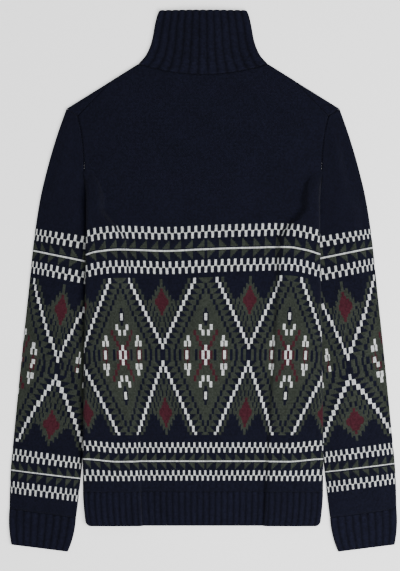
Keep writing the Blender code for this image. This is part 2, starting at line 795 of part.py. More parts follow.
def zip_slider():
    """Two plates round the chain, the post between them and the bridge for the tab."""
    mesh = bmesh.new()
    low, high = ARCH - 0.9, ARCH + 3.1      # faces of the two plates
    box_mesh(mesh, (-SLIDER_HALF, 745.0, low), (SLIDER_HALF, 763.0, low + 1.0))
    obj = place("zip_slider", mesh, METAL)
    pieces = [
        ((-SLIDER_HALF, 745.0, high), (SLIDER_HALF, 763.0, high + 0.9)),
        ((-POST_HALF, SPLIT + 0.3, low + 0.5), (POST_HALF, 763.0, high + 0.5)),
        ((-1.1, 760.0, 0.4), (1.1, 761.6, low + 0.5)),
        ((-1.1, 752.4, 0.4), (1.1, 754.0, low + 0.5)),
        ((-1.1, 752.4, 0.4), (1.1, 761.6, 1.3)),
    ]
    for number, (a, b) in enumerate(pieces):
        mesh = bmesh.new()
        box_mesh(mesh, a, b)
        cutter = place(f"slider_piece_{number}", mesh, METAL)
        union = obj.modifiers.new("piece", "BOOLEAN")
        union.operation = "UNION"
        union.object = cutter
        cutter.hide_render = True
        cutter.display_type = "WIRE"
        cardigan.objects.unlink(cutter)
        cutters.objects.link(cutter)


def zip_pull():
    """Tab with a window for the bridge and a round bar that hinges in it."""
    mesh = bmesh.new()
    outline = [(-2.6, BAR_Y), (-3.2, 748.0), (-3.2, 735.0), (-2.2, 730.5), (2.2, 730.5),
               (3.2, 735.0), (3.2, 748.0), (2.6, BAR_Y)]
    window = [(-1.6, BAR_Y), (-1.6, 749.2), (1.6, 749.2), (1.6, BAR_Y)]
    rings = []
    for z in (BAR_Z - 0.55, BAR_Z + 0.55):
        rings.append([mesh.verts.new(in_world(x, y, z)) for x, y in outline + window[::-1]])
    count = len(rings[0])
    for i in range(count):
        k = (i + 1) % count
        mesh.faces.new((rings[0][i], rings[0][k], rings[1][k], rings[1][i]))
    mesh.faces.new(rings[0])
    mesh.faces.new(rings[1])
    obj = place("zip_pull_tab", mesh, METAL)
    mesh = bmesh.new()
    made = bmesh.ops.create_cone(mesh, cap_ends=True, segments=12, radius1=BAR_RADIUS * MM,
                                 radius2=BAR_RADIUS * MM, depth=5.2 * MM)["verts"]
    for v in made:
        x, y, z = v.co / MM
        v.co = in_world(z, y + BAR_Y, x + BAR_Z)
    bar = place("pull_bar", mesh, METAL)
    bar.hide_render = True
    bar.display_type = "WIRE"
    cardigan.objects.unlink(bar)
    cutters.objects.link(bar)
    union = obj.modifiers.new("bar", "BOOLEAN")
    union.operation = "UNION"
    union.object = bar


def cardigan_parts():
    back()
    fronts()
    hem()
    sleeves()
    cuffs()
    collar()
    zip_tapes()
    zip_hardware()
    zip_slider()
    zip_pull()


for old in list(bpy.data.objects):
    bpy.data.objects.remove(old)
cardigan = bpy.data.collections.new("cardigan")
bpy.context.scene.collection.children.link(cardigan)
cutters = bpy.data.collections.new("cutters")
bpy.context.scene.collection.children.link(cutters)
cardigan_parts()
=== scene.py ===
"""Looks of the zip-up knitted cardigan that lies on its front.

Lengths here are in millimetres up to the making of a mesh: x runs out from the centre
back, y up from the hem edge and z up from the surface. The knit is counted in wales
(columns of stitches, from the centre) and courses (rows, from the middle of the
diamond band).
"""
import math

import bmesh
import bpy
import numpy as np
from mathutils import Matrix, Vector


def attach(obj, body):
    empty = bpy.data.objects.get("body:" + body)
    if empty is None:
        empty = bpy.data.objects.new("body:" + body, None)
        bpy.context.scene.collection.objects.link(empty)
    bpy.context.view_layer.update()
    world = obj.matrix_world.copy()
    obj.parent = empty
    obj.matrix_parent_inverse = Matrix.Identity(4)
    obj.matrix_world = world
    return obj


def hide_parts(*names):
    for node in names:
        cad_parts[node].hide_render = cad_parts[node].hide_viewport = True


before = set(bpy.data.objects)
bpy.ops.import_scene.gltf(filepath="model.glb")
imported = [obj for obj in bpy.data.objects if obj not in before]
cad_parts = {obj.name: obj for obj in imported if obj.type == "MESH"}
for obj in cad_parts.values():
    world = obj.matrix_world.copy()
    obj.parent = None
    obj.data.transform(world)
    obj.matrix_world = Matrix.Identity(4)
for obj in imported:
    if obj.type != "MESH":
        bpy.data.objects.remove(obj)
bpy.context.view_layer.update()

MM = 0.001
PHOTO_MM = 1.55         # size of a photo pixel at the cardigan
HEM_ROW = 525.5         # photo row of the hem edge
PHOTO_HEIGHT = 571      # in photo pixels

# ---- the cloth's form, as the solids have it ----
WALL = 2.0              # thickness of the cloth
SEAM = 0.3              # gap between sewn pieces
PLY_GAP = 1.1           # gap between back and fronts
PAIR = 2 * WALL + PLY_GAP
FOLD = 3.4              # width of a tube's folded edge
ROLL = 6.0              # radius of the body's sides
SLEEVE_FLAT = 4.4       # height of a sleeve beside the body
LIFT = SLEEVE_FLAT + SEAM
END_RUN = 1.4           # shortest cloth beyond a side's roll
HEM_TOP = 52.7
UNDERARM = 443.0
ROLL_FULL = 490.0
ROLL_START = 550.0
NECK_BACK = 699.0
NECK_FRONT = 652.0
NECK_SIDE = (100.0, 715.3)
STRIP_START = (142.6, 688.7)
STRIP_CORNER = (194.3, 634.7)
SHOULDER_TIP = (211.2, 646.0)
COLLAR_TOP = 798.4
COLLAR_TOP_FRONT = 772.0
LENGTH_MIDDLE = (COLLAR_TOP - 40.0) / 2
ZIP_EDGE = 4.0
BODY_EDGE = (
    (0, 180.0), (8, 182.5), (52, 186.0), (90, 186.0), (300, 183.5), (504, 180.8),
    (532, 183.2), (550, 186.0),
)
SIDE_SEAM = ((0, 104.0), (200, 115.0), (443, 130.0))
SLEEVE_INSIDE = (
    (13, 196.5), (33, 193.8), (61, 190.7), (86, 187.9), (140, 182.0), (230, 170.0),
    (340, 152.0), (443, 131.0),
)
SLEEVE_OUTSIDE = (
    (27, 299.9), (80, 298.3), (132, 293.7), (281, 279.0), (368, 269.7), (442, 262.0),
    (504, 252.7), (554, 241.0), (604, 226.3), (646, 211.5),
)
ARMHOLE_BACK = (
    (443, 131.0), (465, 149.0), (488, 167.5), (510, 177.5), (532, 183.2), (550, 183.6),
    (580, 185.2), (610, 188.6), (634.7, 194.6),
)
ARMHOLE_FRONT = ((550, 183.6), (580, 185.6), (610, 191.4), (632, 200.2))
COLLAR_SIDE = (
    (715.3, 100.0), (727.7, 89.1), (740.1, 82.9), (752.5, 79.0), (777.3, 74.4),
    (798.4, 69.0),
)

# ---- the knit ----
STITCH = 2.2            # plain cloth, across and up
VISIBLE_WALES = 106     # from the centre to the body's edge, where most of them show
UNDER_COLUMNS = 36      # the rest, turned under as far as the side seam
EDGE_WALES = ((69, 105.0), (140, 101.0), (200, 98.0), (400, 90.0), (466, 86.0))
COURSE_ROWS = (         # course, photo row on the back
    (-89, 480.2), (-59, 442.2), (-56, 437.6), (0, 354.5), (56, 277.5), (59, 272.5),
    (89, 225.5),
)


def on_curve(table, at):
    """Value of a (position, value) table, on a smooth curve that doesn't overshoot."""
    if at <= table[0][0]:
        return float(table[0][1])
    if at >= table[-1][0]:
        return float(table[-1][1])
    slopes = [(b[1] - a[1]) / (b[0] - a[0]) for a, b in zip(table, table[1:])]

    def tangent(i):
        if i in (0, len(table) - 1):
            return slopes[min(i, len(slopes) - 1)]
        before, after = slopes[i - 1], slopes[i]
        return 0.0 if before * after <= 0 else 2 * before * after / (before + after)

    i = max(k for k in range(len(slopes)) if table[k][0] <= at)
    span = table[i + 1][0] - table[i][0]
    t = (at - table[i][0]) / span
    return (
        (2 * t ** 3 - 3 * t ** 2 + 1) * table[i][1]
        + (t ** 3 - 2 * t ** 2 + t) * span * tangent(i)
        + (3 * t ** 2 - 2 * t ** 3) * table[i + 1][1]
        + (t ** 3 - t ** 2) * span * tangent(i + 1)
    )


def straight(table, at):
    """Value of a (position, value) table, in straight runs that go on past its ends."""
    i = 0
    while i < len(table) - 2 and at > table[i + 1][0]:
        i += 1
    (a, p), (b, q) = table[i], table[i + 1]
    return p + (q - p) * (at - a) / (b - a)


def ease(t):
    t = np.clip(t, 0.0, 1.0)
    return t * t * (3 - 2 * t)


def mix(a, b, t):
    return tuple(p + (q - p) * t for p, q in zip(a, b))


def arc(path, heading, radius, turn, steps):
    """Adds an arc to a path of (x, z) and returns its last heading."""
    side = 1 if turn > 0 else -1
    x, z = path[-1]
    centre = (x - side * radius * math.sin(heading), z + side * radius * math.cos(heading))
    for i in range(1, steps + 1):
        h = heading + turn * i / steps
        path.append((centre[0] + side * radius * math.sin(h),
                     centre[1] - side * radius * math.cos(h)))
    return heading + turn


def rounded(rim):
    """Place round a tube's folded edge, 0 to 1, and the share of its height there."""
    bend = min(rim / FOLD, 1.0)
    return bend, math.sqrt(max(1 - (1 - bend) ** 2, 0.0))


def slope(drop, steepest, first, last):
    """A fall of z by drop: down from level at radius first, and level again at radius last."""
    angle = min(steepest, math.acos(1 - 0.9 * drop / (first + last)))
    path = [(0.0, 0.0)]
    arc(path, 0.0, first, -angle, 2)
    run = (drop - (first + last) * (1 - math.cos(angle))) / math.sin(angle)
    path.append((path[-1][0] + run * math.cos(angle), path[-1][1] - run * math.sin(angle)))
    arc(path, -angle, last, angle, 2)
    return [(x, -z) for x, z in path]


def body_section(y):
    """The back's outer face at height y: 13 points on top, then 13 round and below."""
    edge = on_curve(BODY_EDGE, y)
    turned = min(max((ROLL_START - y) / (ROLL_START - ROLL_FULL), 0.001), 1.0)
    angle = math.pi * turned
    lift = float(LIFT * ease((y - 60) / 40) if y < 100 else LIFT * ease(turned / 0.45))
    radius = ROLL + 2.0 * math.sin(angle)
    fall = radius * (1 - math.cos(angle))
    top = lift + fall + max(PAIR * math.cos(angle), 0.0) + END_RUN * math.sin(angle)
    seam = on_curve(SIDE_SEAM, y) if y < UNDERARM else on_curve(ARMHOLE_BACK, y) - 1.0
    tangent = edge - radius
    seam = min(seam, tangent - 4.5)
    inside = on_curve(SLEEVE_INSIDE, y) if y < UNDERARM else seam
    start = min(inside + 1.0, tangent - 1.5)
    drop = float(lift * ease((start - seam - 6.0) / 22.0)) if y < UNDERARM else 0.0
    flat_top = top - drop

    path = [(0.0, PAIR), (60.0, PAIR)]
    if top - PAIR > 0.5:
        ramp = slope(flat_top - PAIR, math.radians(50), 6.2, 2.5)
        high = seam - 4.0
        ramp = [(high - x, flat_top - z) for x, z in reversed(ramp)]
    else:
        ramp = [(tangent - 24.0 + 2.6 * i, PAIR) for i in range(6)]
    path += ramp
    inner, sloping = ramp[-1][0], max(inside + 3.0 - ramp[-1][0], 8.0)
    for share in (0.25, 0.5, 0.72, 0.9):
        x = inner + (tangent - inner) * share
        crown = min(1.2, (tangent - inner) / 30) * math.sin(math.pi * share)
        path.append((x, top - drop * max(1 - (x - inner) / sloping, 0.0) + crown * turned))
    path.append((tangent, top))

    under = [path[-1]]
    heading = arc(under, 0.0, radius, -angle, 6)
    under = under[1:]
    x, z = under[-1]
    if drop > 0.05:
        bend = slope(drop, math.radians(35), 1.5, 6.2)
        points = [(start - run, lift - low) for run, low in bend] + [(seam, lift - drop)]
    else:
        run = max(x - seam, END_RUN) if turned >= 1 else END_RUN
        points = [(x + math.cos(heading) * run * i / 7, z + math.sin(heading) * run * i / 7)
                  for i in range(1, 8)]
    return path, under + points, radius, angle


def lengths_along(path):
    steps = np.hypot(*np.diff(path, axis=0).T)
    return np.concatenate([[0.0], np.cumsum(steps)])


def smooth_along(path, stations):
    """Points of a smooth curve through the path at given lengths, and its normals."""
    path = np.array(path, float)
    at = lengths_along(path)
    parts = [np.linspace(0, 1, max(int(run / 3.0), 1) + 1)[:-1] for run in np.diff(at)]
    path = np.array([a + (b - a) * t for a, b, ts in zip(path, path[1:], parts) for t in ts]
                    + [path[-1]])
    at = lengths_along(path)
    tangents = np.gradient(path, at, axis=0)
    stations = np.clip(stations, 0.0, at[-1])
    i = np.clip(np.searchsorted(at, stations, side="right") - 1, 0, len(at) - 2)
    span = (at[i + 1] - at[i])[:, None]
    t = ((stations - at[i]) / (at[i + 1] - at[i]))[:, None]
    a, b, from_a, from_b = path[i], path[i + 1], span * tangents[i], span * tangents[i + 1]
    points = ((2 * t ** 3 - 3 * t ** 2 + 1) * a + (t ** 3 - 2 * t ** 2 + t) * from_a
              + (3 * t ** 2 - 2 * t ** 3) * b + (t ** 3 - t ** 2) * from_b)
    ways = ((6 * t ** 2 - 6 * t) * (a - b) + (3 * t ** 2 - 4 * t + 1) * from_a
            + (3 * t ** 2 - 2 * t) * from_b)
    ways /= np.maximum(np.linalg.norm(ways, axis=1), 1e-9)[:, None]
    return points, np.stack([ways[:, 1], -ways[:, 0]], axis=1)


def coons(low, high, left, right):
    """Grid of (x, y) points between four boundary lines, rows from low to high."""
    low, high, left, right = (np.array(line, float) for line in (low, high, left, right))
    u = np.linspace(0, 1, len(low))[None, :, None]
    v = np.linspace(0, 1, len(left))[:, None, None]
    return ((1 - v) * low[None] + v * high[None] + (1 - u) * left[:, None] + u * right[:, None]
            - (1 - u) * (1 - v) * low[0] - u * (1 - v) * low[-1]
            - (1 - u) * v * high[0] - u * v * high[-1])


# ---- the design: a colour for each stitch ----
NAVY, GREEN, BURGUNDY, WHITE = range(4)
REPEAT = 64             # wales from one big diamond to the next
BAND_INNER, BAND_OUTER = 56, 89
CHECK = REPEAT / 28     # width of a check in wales
CENTRE_BLOCKS = (       # (nearest wale, past wale, nearest course, past course, colour)
    (0, 1, 25, 30, WHITE), (0, 2, 24, 31, NAVY), (0, 1, 21, 34, NAVY), (3, 5, 18, 22, WHITE),
    (1, 3, 14, 18, WHITE), (7, 9, 14, 18, BURGUNDY), (5, 7, 10, 14, BURGUNDY),
    (3, 5, 6, 10, BURGUNDY), (1, 3, 3, 7, BURGUNDY), (0, 1, 3, 7, WHITE),
    (3, 5, 0, 3, BURGUNDY), (1, 3, 0, 3, WHITE), (0, 1, 0, 3, BURGUNDY),
    (12, 14, 10, 14, WHITE), (11, 13, 6, 10, WHITE), (14, 16, 6, 10, WHITE),
    (13, 14, 3, 6, BURGUNDY), (13, 15, 0, 3, WHITE), (12, 13, 0, 4, BURGUNDY),
    (15, 16, 0, 4, BURGUNDY),
)
DIAMOND_STEPS = ((1.6, 4.8), (3.1, 4.0), (5.1, 3.0), (6.6, 2.0), (9.6, 1.0))


def diamond_band(wale, course):
    """Colour inside the band of diamonds; wale from a big diamond's middle."""
    m, r = abs(wale), abs(course)
    for low, high, foot, top, colour in CENTRE_BLOCKS:
        if low <= m < high and foot <= r < top:
            return colour
    out = 32 - m                    # wales from the zigzag's point
    if r < 4:
        block = int(out // 2)
        if block < 5:
            return GREEN if block % 2 else NAVY
        return GREEN if out < 11 or (block % 6) else NAVY
    step, part = divmod(r - 4, 4)
    past = out - 2 * step           # wales from the zigzag towards the diamond's middle
    if -1 <= past < 1:
        return WHITE
    if past >= 1:                   # inside the big diamond
        if past < 3:
            return NAVY
        if past < 9:
            tooth = 6 - int(part)
            return GREEN if tooth <= past < 9 else NAVY
        if past < 11:
            return NAVY
        return GREEN
    # between two big diamonds: a small diamond with its halo
    rise = abs(r - 39)
    if any(rise < high and out < wide for high, wide in DIAMOND_STEPS):
        return BURGUNDY
    serrated = rise + (2.5 if int(out) % 2 else 0.0)
    if out / 9.4 + serrated / 16.5 <= 1 or (out < 1 and rise < 17):
        return GREEN
    back = -past                    # wales from the zigzag into the gap
    if 3 <= back < 5 and step >= 2:
        return GREEN
    if step <= 8 and (int(out // 2) + int(step)) % 2 == 0 and back >= 3:
        return GREEN
    return NAVY


def side_band(wale, course):
    """Colour in the bands of checks and sawteeth above and below the diamonds."""
    up = abs(course) - BAND_INNER
    if up < 3:
        return NAVY
    if up < 11 or up >= 25:
        row = (up - 3) // 4 if up < 11 else (up - 25) // 4
        return WHITE if (math.floor(wale / CHECK + 0.5) + row) % 2 == 0 else NAVY
    if up < 12:
        return NAVY
    if up < 17 or 19 <= up < 24:
        from_line = (16 - math.floor(up)) if up < 17 else (math.floor(up) - 19)
        along = (abs(wale) - 1) % 8
        return GREEN if 0 <= along < 5 - from_line else NAVY
    if 17 <= up < 18:
        return WHITE
    return NAVY


def in_checks(course):
    up = abs(course) - BAND_INNER
    return 3 <= up <= 11 or 25 <= up <= 33


def check_wales(wales, course):
    """In the rows of checks, wales moved a little: equal checks, the white ones drawn in."""
    if not in_checks(course):
        return wales
    up = abs(course) - BAND_INNER
    number = np.arange(-80, 81)
    edges = (number + 0.5) * CHECK
    row = 0 if up < 7 or 25 <= up < 29 else 1
    drawn = 0.0 if up in (7, 29) else 0.32
    moved = edges + np.where((number + row) % 2 == 0, -drawn, drawn)
    return np.interp(wales, np.round(edges), moved)


def line_drawn_in(course):
    """The white line's one course is drawn in, so that it is finer than the others."""
    up = abs(course) - BAND_INNER
    shift = 0.28 if up == 17 else -0.28 if up == 18 else 0.0
    return course + math.copysign(shift, course)


def stitch_colour(wale, course):
    """Colour of the stitch that holds this place of the chart."""
    course = math.floor(course) + 0.5
    if abs(course) >= BAND_OUTER or -BAND_INNER < course < -54:
        return NAVY
    if not in_checks(course):
        wale = math.floor(wale) + 0.5
    if abs(course) >= BAND_INNER:
        return side_band(wale, course)
    return diamond_band((wale + REPEAT / 2) % REPEAT - REPEAT / 2, course)


YARNS = (               # linear colours of the four yarns
    (0.0056, 0.0062, 0.0155), (0.036, 0.043, 0.034), (0.058, 0.0125, 0.020),
    (0.74, 0.76, 0.76),
)


# ---- finishes ----

def shader_nodes(name, roughness, metallic=0.0):
    finish = bpy.data.materials.new(name)
    finish.use_nodes = True
    nodes, links = finish.node_tree.nodes, finish.node_tree.links
    shader = nodes["Principled BSDF"]
    shader.inputs["Roughness"].default_value = roughness
    shader.inputs["Metallic"].default_value = metallic
    return finish, nodes, links, shader


def maths(nodes, links, operation, *values):
    """A Math node; values are numbers or other nodes' outputs."""
    node = nodes.new("ShaderNodeMath")
    node.operation = operation
    for i, value in enumerate(values):
        if isinstance(value, (int, float)):
            node.inputs[i].default_value = value
        else:
            links.new(value, node.inputs[i])
    return node.outputs[0]


def knit_finish(name, yarn=None, depth=0.5):
    """Wool in stocking stitch: V-shaped stitches from the UV map's wales and courses."""
    finish, nodes, links, shader = shader_nodes(name, 0.95)
    shader.inputs["Specular IOR Level"].default_value = 0.1
    shader.inputs["Sheen Weight"].default_value = 0.05
    shader.inputs["Sheen Roughness"].default_value = 0.5
    shader.inputs["Sheen Tint"].default_value = (0.6, 0.62, 0.75, 1.0)

    place = nodes.new("ShaderNodeUVMap")
    place.uv_map = "knit"
    split = nodes.new("ShaderNodeSeparateXYZ")
    links.new(place.outputs["UV"], split.inputs[0])
    wale, course = split.outputs["X"], split.outputs["Y"]

    def m(*a):
        return maths(nodes, links, *a)

    across = m("ABSOLUTE", m("SUBTRACT", m("FRACT", wale), 0.5))      # 0 middle, 0.5 edge
    slant = m("FRACT", m("SUBTRACT", course, m("MULTIPLY", across, 1.1)))
    leg = m("SINE", m("MULTIPLY", across, 2 * math.pi))
    strand = m("SINE", m("MULTIPLY", slant, math.pi))
    stitch = m("MULTIPLY", leg, m("ADD", m("MULTIPLY", strand, 0.6), 0.4))

    fluff = nodes.new("ShaderNodeTexNoise")
    fluff.inputs["Scale"].default_value = 900.0
    fluff.inputs["Detail"].default_value = 3.0
    coordinates = nodes.new("ShaderNodeTexCoord")
    links.new(coordinates.outputs["Object"], fluff.inputs["Vector"])
    height = m("ADD", stitch, m("MULTIPLY", fluff.outputs["Fac"], 0.5))
    bump = nodes.new("ShaderNodeBump")
    bump.inputs["Strength"].default_value = depth
    bump.inputs["Distance"].default_value = 0.0006
    links.new(height, bump.inputs["Height"])
    links.new(bump.outputs["Normal"], shader.inputs["Normal"])

    # uneven yarn: each stitch and each patch a little lighter or darker
    cell = nodes.new("ShaderNodeCombineXYZ")
    links.new(m("FLOOR", wale), cell.inputs["X"])
    links.new(m("FLOOR", course), cell.inputs["Y"])
    heather = nodes.new("ShaderNodeTexWhiteNoise")
    heather.noise_dimensions = "2D"
    links.new(cell.outputs[0], heather.inputs["Vector"])
    patches = nodes.new("ShaderNodeTexNoise")
    patches.inputs["Scale"].default_value = 22.0
    links.new(coordinates.outputs["Object"], patches.inputs["Vector"])
    tone_and_painted_shade = m("ADD", m("MULTIPLY", heather.outputs["Value"], 0.45), 0.66)
    tone_and_painted_shade = m("ADD", tone_and_painted_shade, m("MULTIPLY", m("SUBTRACT", patches.outputs["Fac"], 0.5), 0.3))
    # painted shade: darker in the dips between each stitch's legs and between stitches, brightest
    # on the legs
    tone_and_painted_shade = m("MULTIPLY", tone_and_painted_shade, m("ADD", m("MULTIPLY", stitch, 0.9), 0.42))
    if yarn:        # painted shade: darker in the grooves between the ribs
        painted_groove_shade = m("POWER", m("ABSOLUTE", m("SINE", m("MULTIPLY", wale, math.pi / 4))), 0.8)
        tone_and_painted_shade = m("MULTIPLY", tone_and_painted_shade, m("ADD", m("MULTIPLY", painted_groove_shade, 0.75), 0.5))
    tint = nodes.new("ShaderNodeVectorMath")
    tint.operation = "SCALE"
    if yarn:
        tint.inputs[0].default_value = yarn
    else:
        colour = nodes.new("ShaderNodeAttribute")
        colour.attribute_name = "yarn"
        links.new(colour.outputs["Color"], tint.inputs[0])
    links.new(tone_and_painted_shade, tint.inputs["Scale"])
    links.new(tint.outputs[0], shader.inputs["Base Color"])
    return finish


# ---- making a wall of cloth ----

def in_world(points):
    points = np.array(points, float)
    points[:, 2] = np.maximum(points[:, 2], 0.0)
    points[:, 1] -= LENGTH_MIDDLE
    return points * MM


class Cloth:
    """Outer and inner points, and grids of them with each point's place in the knit."""

    def __init__(self):
        self.outer, self.inner, self.grids = [], [], []

    def points(self, outer, inner):
        """Adds a row of points and returns their numbers."""
        first = len(self.outer)
        self.outer += [tuple(p) for p in outer]
        self.inner += [tuple(p) for p in inner]
        return list(range(first, len(self.outer)))

    def grid(self, rows, knit):
        self.grids.append((rows, [[(float(w), float(c)) for w, c in row] for row in knit]))

    def mirrored(self):
        """The piece for the other side."""
        other = Cloth()
        other.outer = [(-x, y, z) for x, y, z in self.outer]
        other.inner = [(-x, y, z) for x, y, z in self.inner]
        for rows, knit in self.grids:
            other.grid([row[::-1] for row in rows],
                       [[(-w, c) for w, c in row[::-1]] for row in knit])
        return other


def faces_of(rows):
    """Corner numbers and grid places of the faces between rows."""
    faces, cells = [], []
    for j in range(len(rows) - 1):
        a, b = rows[j], rows[j + 1]
        for i in range(len(a) - 1):
            corners = [(a[i], j, i), (a[i + 1], j, i + 1), (b[i + 1], j + 1, i + 1),
                       (b[i], j + 1, i)]
            kept = [c for n, c in enumerate(corners) if c[0] != corners[n - 1][0]]
            if len({c[0] for c in kept}) >= 3:
                faces.append([c[0] for c in kept])
                cells.append([c[1:] for c in kept])
    return faces, cells


def coarse_inside(rows, border, stride, must, levels_kept):
    """Larger faces for the inner wall, with every point of the border kept."""
    width = len(rows[0])
    columns = sorted(set(range(0, width, stride)) | {width - 1} | {m for m in must if m < width})
    levels = sorted(set(range(0, len(rows), stride)) | {len(rows) - 1}
                    | {m for m in levels_kept if m < len(rows)})
    faces = []
    for a, b in zip(levels, levels[1:]):
        for p, q in zip(columns, columns[1:]):
            if rows[a][p] == rows[a][q] and rows[b][p] == rows[b][q]:
                continue
            walk = ([(a, i) for i in range(p, q)] + [(j, q) for j in range(a, b)]
                    + [(b, i) for i in range(q, p, -1)] + [(j, p) for j in range(b, a, -1)])
            corners = {(a, p), (a, q), (b, q), (b, p)}
            face = []
            for j, i in walk:
                point = rows[j][i]
                if ((j, i) in corners or point in border) and point not in face:
                    face.append(point)
            if len(face) >= 3:
                faces.append(face)
    return faces


def make_cloth(name, cloth, finish, chart=None, stride=4, must=(), levels=(), turned=False):
    """A closed wall from a cloth: fine outside, plain inside."""
    faces, places, tones = [], [], []
    spot_of = {}
    for rows, knit in cloth.grids:
        found, cells = faces_of(rows)
        faces += found
        for cell in cells:
            spots = [knit[j][i] for j, i in cell]
            if turned:
                spots = spots[::-1]
            places += spots
            if chart:
                count = len(spots)
                middle = (sum(s[0] for s in spots) / count, sum(s[1] for s in spots) / count)
                tones += [YARNS[chart(*middle)] + (1.0,)] * count
        for row, spots in zip(rows, knit):
            for point, spot in zip(row, spots):
                spot_of.setdefault(point, spot)
    edges = {}
    for face in faces:
        for a, b in zip(face, face[1:] + face[:1]):
            if (b, a) in edges:
                del edges[(b, a)]
            else:
                edges[(a, b)] = True
    border = {p for edge in edges for p in edge}
    count = len(cloth.outer)
    every = list(faces)
    for rows, _ in cloth.grids:
        every += [[count + p for p in reversed(f)]
                  for f in coarse_inside(rows, border, stride, must, levels)]
    every += [[b, a, count + a, count + b] for a, b in edges]
    if turned:
        every = [f[::-1] for f in every]
    mesh = bpy.data.meshes.new(name)
    mesh.from_pydata(in_world(cloth.outer + cloth.inner).tolist(), [], every)
    corners = np.zeros(len(mesh.loops), int)
    mesh.loops.foreach_get("vertex_index", corners)
    places += [spot_of[p % count] for p in corners[len(places):]]
    knit = mesh.uv_layers.new(name="knit")
    knit.data.foreach_set("uv", np.array(places, float).ravel())
    if chart:
        tones += [YARNS[NAVY] + (1.0,)] * (len(mesh.loops) - len(tones))
        layer = mesh.color_attributes.new(name="yarn", type="FLOAT_COLOR", domain="CORNER")
        layer.data.foreach_set("color", np.array(tones, float).ravel())
    mesh.materials.append(finish)
    mesh.shade_smooth()
    whole = bmesh.new()
    whole.from_mesh(mesh)
    loose = [v for v in whole.verts if not v.link_faces]
    bmesh.ops.delete(whole, geom=loose, context="VERTS")
    whole.to_mesh(mesh)
    whole.free()
    made = bpy.data.objects.new(name, mesh)
    bpy.context.scene.collection.objects.link(made)
    return made


# ---- body ----
PATTERN_TOP = (HEM_ROW - COURSE_ROWS[-1][1]) * PHOTO_MM
TOP_COLUMN = 86         # the last column on top where the side isn't turned under
COLUMNS = VISIBLE_WALES + UNDER_COLUMNS


def course_height(course):
    return (HEM_ROW - straight(COURSE_ROWS, line_drawn_in(course))) * PHOTO_MM


def body_courses():
    """Courses of the body's rows, from the hem rib to the open armhole."""
    edge = BAND_OUTER
    low = (HEM_TOP + SEAM - course_height(-edge)) / STITCH - edge
    below = list(np.linspace(low, -edge, 5)[:-1])
    above = list(np.linspace(edge, edge + (ROLL_START - PATTERN_TOP) / STITCH, 34)[1:])
    return below + list(range(-edge, edge + 1)) + above


def row_height(course):
    if course > BAND_OUTER:
        return PATTERN_TOP + (course - BAND_OUTER) * STITCH
    if course < -BAND_OUTER:
        return course_height(-BAND_OUTER) + (course + BAND_OUTER) * STITCH
    return course_height(course)


HEM_RIBS = 29           # round half of the hem
CHART_SHIFT = 2.0       # the chart's middle lies a little right of the back's


def wale_stations(course, y, path_top, radius, angle, total, hand):
    """Length along the section of each column, and its wale."""
    top = lengths_along(np.array(path_top))[-1]
    edge = top + radius * min(angle, math.pi / 2)
    shown = on_curve(EDGE_WALES, y)
    wales = np.arange(COLUMNS + 1, dtype=float)
    shift = CHART_SHIFT * hand
    wales[1:-1] = check_wales(wales[1:-1] - shift, course) + shift
    n = wales[:VISIBLE_WALES + 1]
    t = n / shown
    swell = 0.02 * float(ease((y - 140) / 120)) - 0.005
    s = edge * (t + swell * np.sin(np.pi * np.clip(t, 0, 1)))
    s = np.where(n > shown, edge + (n - shown) * 2.0, s)
    past = (wales[VISIBLE_WALES + 1:] - n[-1]) / (wales[-1] - n[-1])
    s = np.concatenate([s, s[-1] + (total - s[-1]) * past])
    if y > PATTERN_TOP:
        w = float(ease((y - PATTERN_TOP) / (ROLL_START - PATTERN_TOP)))
        k = np.arange(COLUMNS + 1)
        tail = np.clip((k - TOP_COLUMN) / (COLUMNS - TOP_COLUMN), 0, 1)
        s = (1 - w) * s + w * (np.minimum(k / TOP_COLUMN, 1) * top + tail * (total - top))
    return s, wales


WAVER = (               # how far the rows of the upper band lie above their level
    (-190, -12.0), (-183, -9.5), (-165, -4.0), (-129, -0.6), (-100, -1.2), (-59, -2.6), (0, 0.0),
    (54, 2.0), (84, 2.6), (104, 3.3), (130, 3.2), (160, -1.5), (178, -7.0), (190, -10.0),
)


def waver(x, y):
    """How far a row of the body lies above its level at x."""
    upper = ease((y - 270) / 130) * (1 - ease((y - 480) / 60))
    lower = ease((y - 90) / 170) * (1 - ease((y - 270) / 130))
    foot = ease((y - 68) / 35) * (1 - ease((y - 140) / 50)) * ease((np.abs(x) - 130) / 55)
    side = np.clip((np.abs(x) - 150) / 34, 0, 1)
    bent = np.array([on_curve(WAVER, v) for v in x])
    return bent * upper - 6.0 * side ** 2 * lower + 4.4 * foot


def relief(x, y):
    """Soft creases and unevenness of the body's upper face."""
    wide = np.sin(x / 31.0 + 1.3 * np.sin(y / 97.0)) * np.sin(y / 83.0 + x / 140.0)
    fine = np.sin(x / 13.0 + y / 41.0) * np.sin(y / 29.0 - x / 57.0)
    return 0.5 * wide + 0.18 * fine


